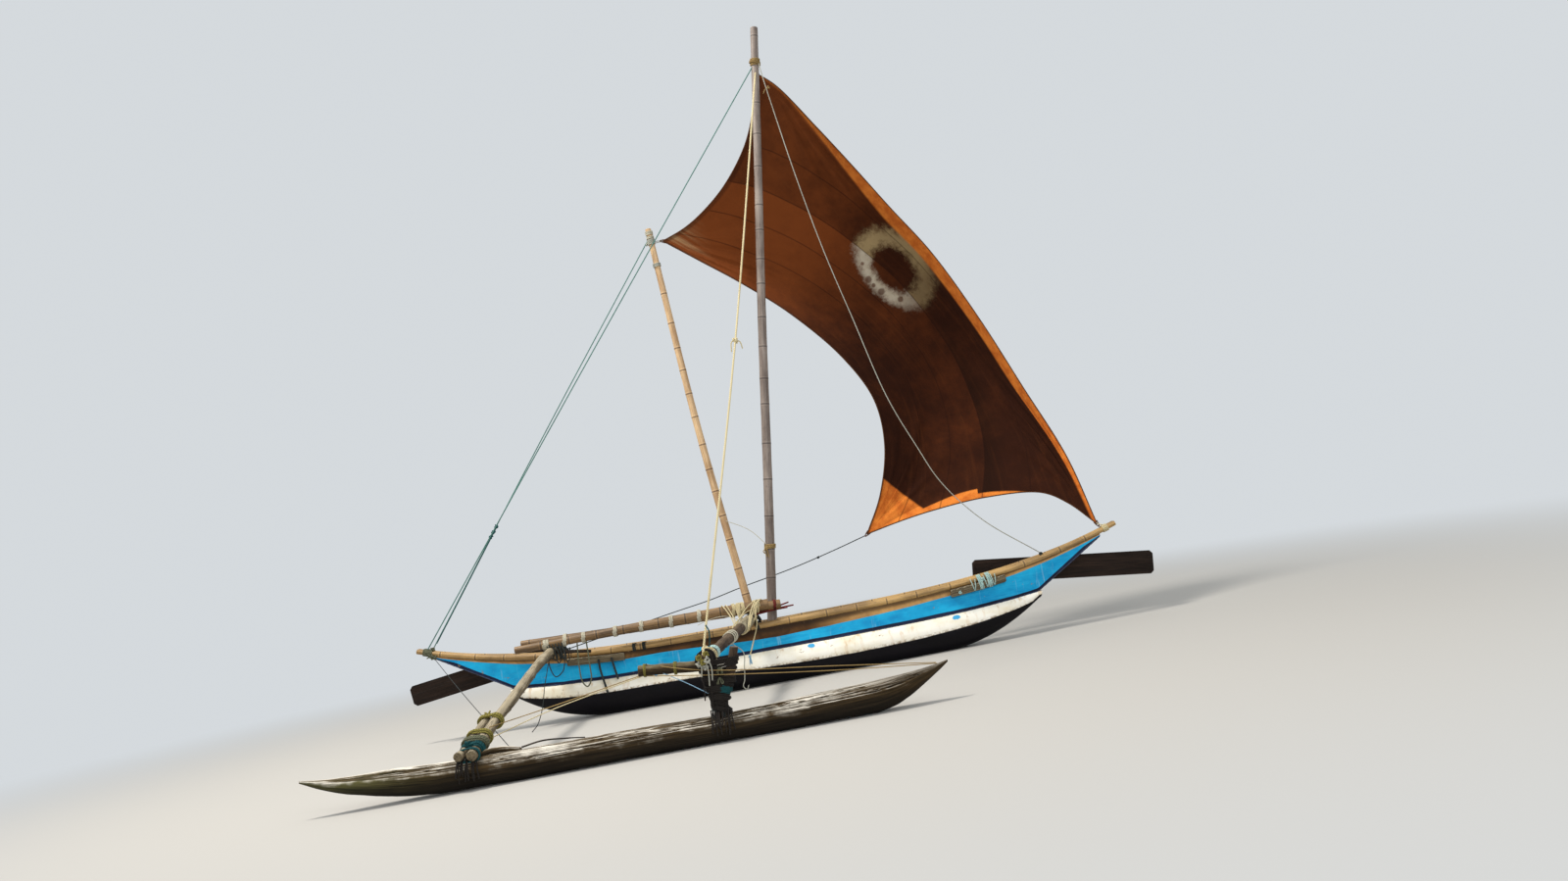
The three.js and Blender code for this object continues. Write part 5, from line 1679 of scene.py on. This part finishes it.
for x in (-0.57, -0.5):
    poles = [((x, FLOAT_Y, 0.24), 0.05), ((x, FLOAT_Y - 0.06, 0.12), 0.03), ((x, FLOAT_Y + 0.06, 0.12), 0.03)]
    wind(ties, poles, (1, 0, 0), 0.006, 3, 119)
ties.make("lashings_dark", DARK_ROPE)

# %% Cream lashings of the spars to the bow boom
ties = Shape()
point, way = along_pole(SPAR_FRONT, -0.27, 0)
boom_point, boom_way = along_pole(BOW_BOOM, point[1])
contact = point - (0, 0, 0.06)
gap = contact[2] - boom_point[2] - 0.052
crossing(ties, contact, way, boom_way * np.sign(boom_way[1]), 0.06, 0.052 + 0.5 * gap, 0.006, 4, 121)
for x, turns in ((-0.43, 3), (-0.33, 3), (-0.16, 2)):
    front, way = along_pole(SPAR_FRONT, x, 0)
    poles = [(front, 0.06), (along_pole(SPAR_BACK, x, 0)[0], 0.0535)]
    wind(ties, poles, way + (0.12, 0.1, 0), 0.006, turns, int(500 - 100 * x))
for x, y, side in ((-0.1, -0.92, 1), (-0.12, -1.0, 1), (-0.14, -1.08, -1), (-0.16, -1.13, 1),
                   (-0.5, -0.82, -1), (-0.54, -0.94, -1)):
    point, front = along_pole(BOW_BOOM, y)[0], along_pole(SPAR_FRONT, x, 0)[0]
    top = front + (0, -0.02, 0.066)
    ties.strand([front + (0, 0.06, 0.03), top, mix(top, point, 0.35) + (side * 0.03, -0.02, 0.045),
                 mix(top, point, 0.75) + (side * 0.055, -0.01, 0.035), point + (side * 0.071, 0, -0.01),
                 point + (side * 0.05, 0.01, -0.055), point + (0, 0.02, -0.073)], 0.006, 40)
point, way = along_pole(BOW_BOOM, -3.5)
wind(ties, [(point, 0.052)], way, 0.007, 3, 127, 2)
turned_knot(ties, point + (-0.02, 0.02, 0.06), way, 0.007, 0.024, 4)
ties.make("lashings_tan", CREAM_ROPE)

# %% Yellow lashings of the fork's bar and the stern boom
ties = Shape()
for x in (-1.09, -0.84):
    wind(ties, [(along_pole(FORK_BAR, x, 0)[0], 0.0475)], (1, 0, -0.1), 0.0038, 3, int(-100 * x))
point, way = along_pole(STERN_BOOM, -3.14)
turned_knot(ties, point + (-0.06, 0.01, 0.062), way, 0.007, 0.024, 5)
point, way = along_pole(STERN_BOOM, -3.45)
wind(ties, [(point, 0.05), (along_pole(SPLINT, -3.45)[0], 0.043)], way, 0.006, 4, 145, 2)
boom_end = np.array(BOW_BOOM[-1])
for x, y, z, size in ((0.03, 0.02, 0.05, 0.02), (-0.03, 0.0, 0.03, 0.022), (0.0, -0.012, -0.01, 0.02)):
    turned_knot(ties, boom_end + (x, y, z), (1, 0, 0.3), 0.0055, size, 146 + 100 * x)
ties.make("lashings_yellow", YELLOW_ROPE)

# %% Knots at the stern tip, the fork and the bow boom's end
ties = Shape()
for x, y, drop, size in ((-3.87, -0.05, 0.005, 0.022), (-3.83, -0.07, 0.04, 0.026),
                         (-3.79, -0.06, 0.06, 0.024), (-3.84, 0.05, 0.03, 0.022), (-3.8, -0.03, -0.03, 0.02)):
    turned_knot(ties, (x, y, TIP_AT[1] - drop), (1, 0, -0.3), 0.006, size, -10 * x)
for z in (0.49, 0.57):
    turned_knot(ties, mix(*crook_at(z), 0.5) + (0, -0.055, 0), (0, 0, 1), 0.006, 0.026, 10 * z)
ties.make("knots_olive", OLIVE_ROPE)

ties = Shape()
for x, y, z, size in ((-0.035, 0.01, -0.02, 0.021), (0.03, 0.0, 0.0, 0.023), (0.01, 0.01, -0.05, 0.02)):
    turned_knot(ties, boom_end + (x, y, z), (1, 0.2, 0.6), 0.007, size, 147 + 100 * x)
for drop, x in ((0.12, -0.03), (0.2, 0.02), (0.16, 0.05)):
    ties.strand([boom_end + (x, -0.008, -0.02), boom_end + (x + 0.01, -0.018, -0.4 * drop),
                 boom_end + (x, -0.01, -drop)], 0.005, 16, 6)
ties.make("boom_end_knots", GREY_ROPE)

# %% Teal lashings of the stern boom's end and the fork's arm
ties = Shape()
point, way = along_pole(STERN_BOOM, -3.66)
low = point + (-0.07, 0, 0)
wind(ties, [(point, 0.049), (low, 0.043)], way, 0.006, 5, 131, 2)
wind(ties, [(point, 0.05), ((-2.54, -3.64, 0.16), 0.03), ((-2.64, -3.64, 0.16), 0.03)], way, 0.006, 3, 133)
end, end_way = along_pole(STERN_BOOM, -3.77)
wind(ties, [(end, 0.05), (end + (-0.08, 0, 0), 0.043)], end_way, 0.0058, 3, 135)
turned_knot(ties, low + (0.01, -0.03, 0.06), way, 0.006, 0.02, 3)
arm = bind(ties, FORK_ARM, 0.42, 2, 0.05, 0.0055, 5, 137)
wind(ties, [(arm, 0.055), ((-0.535, FLOAT_Y, 0.42), 0.05)], (0.1, 0, 1), 0.0055, 4, 139)
ties.make("lashings_teal", TEAL_ROPE)

# %% Blue lashings of the bow oar block, and on the bow boom
ties = Shape()
for x in (2.22, 2.3, 2.37, 2.45):
    top = rail_point(x, -1) + (0, -0.045, 0.02)
    ties.strand([top, top + (0.01, -0.03, -0.05), top + (0.03, -0.02, -0.13), top + (0.045, -0.022, -0.08),
                 top + (0.05, -0.01, -0.01)], 0.0045, 24)
for x in (2.33, 2.43):
    point = rail_point(x, -1)
    poles = [(point, rail_radius(x) + 0.001), (point + (0, -0.02, -0.075), 0.042)]
    wind(ties, poles, rail_way(x, -1), 0.0055, 4, int(100 * x))
turned_knot(ties, rail_point(2.36, -1) + (0, -0.05, -0.02), (1, 0, 0), 0.0055, 0.018, 7)
turned_knot(ties, rail_point(2.08, -1) + (0, -0.06, -0.09), (1, 0, 0.4), 0.005, 0.015, 5)
for y in (-3.24, -3.3):
    bind(ties, BOW_BOOM, y, 1, 0.051, 0.0055, 4, int(-100 * y))
ties.make("lashings_blue", AQUA_ROPE)

# %% White lashings of the two spars, and on the bow boom
ties = Shape()
for y, turns in ((-1.98, 4), (-2.09, 3), (-2.2, 3)):
    bind(ties, BOW_BOOM, y, 1, 0.0525, 0.0045, turns, int(-100 * y))
for x, both in ((-2.482, 0), (-2.279, 1), (-2.074, 0), (-1.729, 1), (-1.44, 0), (-1.113, 1), (-0.8, 0)):
    front, way = along_pole(SPAR_FRONT, x, 0)
    poles = [(front, 0.0605 if x > -1 else mix(0.041, 0.061, (x + 2.822) / 2.79) + 0.0015)]
    if both:
        poles.append((along_pole(SPAR_BACK, x, 0)[0], mix(0.041, 0.054, (x + 2.762) / 2.86)))
    wind(ties, poles, way, 0.005, 6 if x < -2.4 else 4, int(900 + 100 * x))
ties.make("lashings_white", WHITE_ROPE)

# %% Netting at the fork's foot
def netting():
    """Old net bunched round the stem: many thin cords at a slant, in both directions."""
    net = Shape()
    draw = np.random.default_rng(141)
    t = np.linspace(0, 1, 90)
    for _ in range(26):
        start, lean = draw.uniform(0, 2 * np.pi), draw.choice([-1, 1]) * draw.uniform(0.6, 1.6)
        low, high = draw.uniform(0.262, 0.29), draw.uniform(0.31, 0.338)
        turn = start + lean * 2 * np.pi * t
        size = 0.066 + 0.006 * np.sin(7 * t * draw.uniform(0.5, 2) + start) + draw.uniform(-0.003, 0.003)
        z = mix(low, high, 0.5 - 0.5 * np.cos(np.pi * t * draw.integers(1, 4)))
        path = np.stack([-0.528 + size * np.cos(turn), FLOAT_Y + size * np.sin(turn), z], 1)
        net.tube(path, draw.uniform(0.0022, 0.0045), 6, "round")
    return net


netting().make("fork_net", BLACK_ROPE, ["fork_lashing"], slot="netting")

# %% Ropes on the mast, the sprit and the bow tip
ties = Shape()
point = bind(ties, MAST, 1.5, 2, 0.0555, 0.006, 4, 151)
turned_knot(ties, point + (-0.05, -0.035, -0.02), (0, 0, 1), 0.006, 0.018, 3)
for dx, drop in ((-0.075, 0.07), (-0.055, 0.11), (-0.03, 0.14)):
    ties.strand([point + (-0.045, -0.04, -0.02), point + (dx - 0.01, -0.05, -0.045),
                 point + (dx, -0.046, -drop)], 0.0055, 18)
corner = np.array(LUFF[0])
for lift in (0.0, 0.014):
    ties.strand([corner + (0.008, 0, 0), corner + (0, -0.012, 0.03 + lift),
                 head + (0.05, 0.012, lift - 0.045), head + (0.052, -0.02, lift - 0.04),
                 head + (0.03, -0.05, lift - 0.045)], 0.005, 30)
ties.make("mast_ties", TAN_ROPE, (), "mast")

ties = Shape()
for z, turns in ((5.235, 3), (5.285, 5)):
    bind(ties, SPRIT, z, 2, 0.0358, 0.0045, turns, 153)
turned_knot(ties, np.array(SPRIT[-1]) + (-0.01, 0, -0.022), (0, 0, 1), 0.006, 0.018, 2)
ties.make("sprit_tip_ties", WHITE_ROPE, (), "sprit")

ties = Shape()
point = bind(ties, SPRIT, 5.185, 2, 0.0365, 0.0052, 6, 51)
bind(ties, SPRIT, 4.9, 2, 0.0365, 0.0052, 4, 49)
turned_knot(ties, point + (-0.045, -0.01, -0.02), (0, 0, 1), 0.0055, 0.017, 6)
peak = np.array(LEECH[0])
for lift in (0.008, -0.008):
    ties.strand([point + (0.02, 0.034, lift), mix(point, peak, 0.55) + (0, 0.01, lift),
                 peak + (-0.012, 0, lift / 2)], 0.0048, 16)
ties.make("sprit_ties", GREY_ROPE, (), "sprit")

ties = Shape()
corner = np.array(LUFF[-1])
for k in (-1, 1):
    ties.strand([corner + (-0.008, 0, 0.012), corner + (0.02, 0.012 * k, -0.005),
                 (TIP_X - 0.02, 0.02 * k, TIP_AT[1] + 0.04),
                 (TIP_X + 0.01, 0.045 * k, TIP_AT[1] + 0.015)], 0.005, 20)
ties.make("tack_tie", CREAM_ROPE)

# %% Ropes stretched tight between the poles
TAUT = [
    # name, points, radius, material
    ("brace_stern_low", [(-2.459, -3.45, 0.345), (-1.889, -3.6, 0.496),
     (-1.125, -3.596, 0.628)], 0.004, CREAM_ROPE),
    ("brace_stern_high", [(-2.47, -3.41, 0.43), (-1.86, -3.58, 0.525),
     (-1.1, -3.58, 0.64)], 0.004, TAN_ROPE),
    ("brace_bow_low", [(-1.08, -3.62, 0.625), (-0.6, -3.77, 0.56), (0.437, -3.72, 0.403),
     (1.28, -3.69, 0.302)], 0.0036, TAN_ROPE),
    ("brace_bow_high", [(-1.1, -3.56, 0.72), (-0.6, -3.765, 0.6), (0.446, -3.74, 0.44),
     (1.27, -3.7, 0.312)], 0.0036, TAN_ROPE),
    ("tie_blue", [(-0.956, -3.62, 0.63), (-0.79, -3.655, 0.53), (-0.6, -3.72, 0.405)], 0.0035, BLUE_ROPE),
    ("line_low", [(-0.769, -1.2, 0.836), (-0.63, -1.2, 0.871), (-0.477, -1.2, 0.873),
     (-0.345, -1.2, 0.815)], 0.003, WHITE_ROPE),
    ("line_mast", [(-0.4, 0.0, 1.9), (-0.1, -0.02, 1.72), (0.06, -0.05, 1.53)], 0.0035, WHITE_ROPE),
    ("guy_stern", [(-3.8, -0.05, 0.96), (-3.05, -1.85, 0.615), (-2.26, -3.66, 0.25)], 0.0035, DARK_ROPE),
]
for name, points, radius, material in TAUT:
    count = max(24, int(distance_along(np.array(points))[-1] / 0.02))
    body = "mast" if name == "line_mast" else "hull"
    Shape().strand(points, radius, count, 8).make(name, material, (), body)


# %% [markdown]
# Each rope that hangs free is a tube along a curve through a few points, with round ends.

# %% Ropes that hang free
def free_rope(name, points, radius, material, far_end, with_pieces=(), **more):
    """A rope along a curve."""
    path = curve(points, max(30, int(distance_along(curve(points, 400))[-1] / 0.012)))
    piece = Shape().tube(path, radius, 8, "round").make(name, material, **more)
    2 * radius


FREE = [
    # name, points from where it leaves the boat, radius, material, far end
    ("rope_tail_stern", [(-2.47, -0.44, 0.715), (-2.5, -0.455, 0.62), (-2.56, -0.455, 0.44),
     (-2.62, -0.46, 0.22), (-2.7, -0.47, 0.06), (-2.76, -0.48, 0.006)], 0.0045, DARK_ROPE, "bare"),
    ("rope_loop_stern", [(-2.47, -0.415, 0.75), (-2.475, -0.43, 0.66), (-2.425, -0.43, 0.53),
     (-2.34, -0.425, 0.58), (-2.3, -0.415, 0.72), (-2.29, -0.385, 0.838)], 0.006, DARK_ROPE, "object"),
    ("rope_loop_mid", [(-2.15, -0.38, 0.838), (-2.165, -0.4, 0.6), (-2.155, -0.4, 0.42),
     (-2.11, -0.4, 0.365), (-2.06, -0.4, 0.43), (-2.05, -0.4, 0.58),
     (-2.05, -0.375, 0.838)], 0.0075, OLIVE_ROPE, "object"),
    ("rope_tail_bow", [(-0.2, -0.342, 0.842), (-0.19, -0.37, 0.7), (-0.25, -0.385, 0.54),
     (-0.33, -0.39, 0.36)], 0.007, CREAM_ROPE, "knot"),
    ("rope_down_boom", [(-0.22, -0.345, 0.852), (-0.27, -0.6, 0.85), (-0.335, -1.2, 0.825),
     (-0.385, -1.85, 0.8), (-0.393, -1.95, 0.786)], 0.006, CREAM_ROPE, "object"),
    ("rope_looped", [(-0.41, -2.16, 0.652), (-0.32, -2.2, 0.56), (-0.335, -2.2, 0.42), (-0.355, -2.2, 0.3),
     (-0.375, -2.2, 0.25), (-0.345, -2.2, 0.215), (-0.325, -2.2, 0.25)], 0.0045, GREY_ROPE, "knot"),
    ("rope_teal_short", [(-0.53, -3.645, 0.945), (-0.512, -3.662, 0.9), (-0.516, -3.668, 0.84),
     (-0.53, -3.66, 0.77)], 0.0055, TEAL_ROPE, "bare"),
]
for row in FREE:
    free_rope(*row)

TASSEL_X, TASSEL_Y = -0.33, -0.39
tassel = Shape()
draw = np.random.default_rng(161)
for _ in range(9):
    x, y = draw.uniform(-0.022, 0.022, 2)
    tassel.strand([(TASSEL_X, TASSEL_Y, 0.362), (TASSEL_X + 0.5 * x, TASSEL_Y + 0.5 * y, 0.335),
                   (TASSEL_X - 0.005 + x, TASSEL_Y + y, draw.uniform(0.27, 0.3))], 0.003, 10, 6)
turned_knot(tassel, (TASSEL_X, TASSEL_Y, 0.365), (0, 0, 1), 0.005, 0.012, 2)
tassel.make("rope_tassel", BLUE_ROPE)

# Painted shadow: two dark ropes hang down the starboard side at the stern, where the shadows of the booms and
# spars lie on the hull.
SHADOW_STRAPS = [
    ("shadow_strap_stern", [(-1.975, -0.228, 0.612), (-1.97, -0.24, 0.5), (-1.95, -0.245, 0.37),
     (-1.93, -0.25, 0.25)], 0.012, DARK_ROPE, "bare"),
    ("shadow_strap_mid", [(-1.83, -0.235, 0.605), (-1.815, -0.247, 0.5),
     (-1.795, -0.25, 0.38)], 0.012, DARK_ROPE, "bare"),
]
for row in SHADOW_STRAPS:
    free_rope(*row)

HALYARD = [(0.975, -0.052, 7.02), (0.985, -0.055, 6.9), (1.046, -0.055, 6.413), (1.155, -0.055, 5.625),
           (1.309, -0.055, 4.72), (1.493, -0.055, 3.876), (1.709, -0.055, 2.919), (1.932, -0.055, 2.311),
           (2.127, -0.055, 1.858), (2.503, -0.06, 1.362), (3.073, -0.078, 0.874)]
HALYARD_KNOT = (1.03, -0.055, 6.72)
knot = turned_knot(Shape(), HALYARD_KNOT, (0, 0, 1), 0.005, 0.014, 8)
knot.strand([HALYARD_KNOT, (0.99, -0.057, 6.7), (0.965, -0.055, 6.66)], 0.0045, 14)
halyard_knot = knot.make("halyard_knot", TAN_ROPE, (), "mast", blend=HALYARD)
free_rope("halyard_line", HALYARD, 0.0055, GREY_ROPE, "object", [halyard_knot], body="mast", blend=HALYARD)

CLEW = np.array(LEECH[-1])
SHEET = [tuple(CLEW + (-0.02, 0.004, -0.012)), (0.805, 0.22, 1.318), (0.3, 0.28, 1.202), (-0.326, 0.32, 1.09),
         (-0.694, 0.325, 1.015), (-1.091, 0.31, 0.958), (-1.675, 0.24, 0.872), (-2.34, 0.128, 0.773)]
# The line's blend is given from a point far out past the clew to the line's far end.
SHEET_BLEND = 3.525
blend_start = np.array(SHEET[0]) + SHEET_BLEND * np.subtract(SHEET[0], SHEET[-1])
free_rope("sheet_line", SHEET, 0.0055, DARK_ROPE, "object", body="mast", blend=(blend_start, SHEET[-1]))

cleats = turned_knot(Shape(), (-2.345, 0.127, 0.764), (1, 0, 0), 0.0055, 0.022, 9)
turned_knot(cleats, (3.075, -0.076, 0.864), (1, 0, 0), 0.005, 0.018, 4)
turned_knot(cleats, (0.62, 0.25, 1.272), (1, 0, 0.3), 0.0045, 0.011, 6)
cleats.make("line_knots", DARK_ROPE)
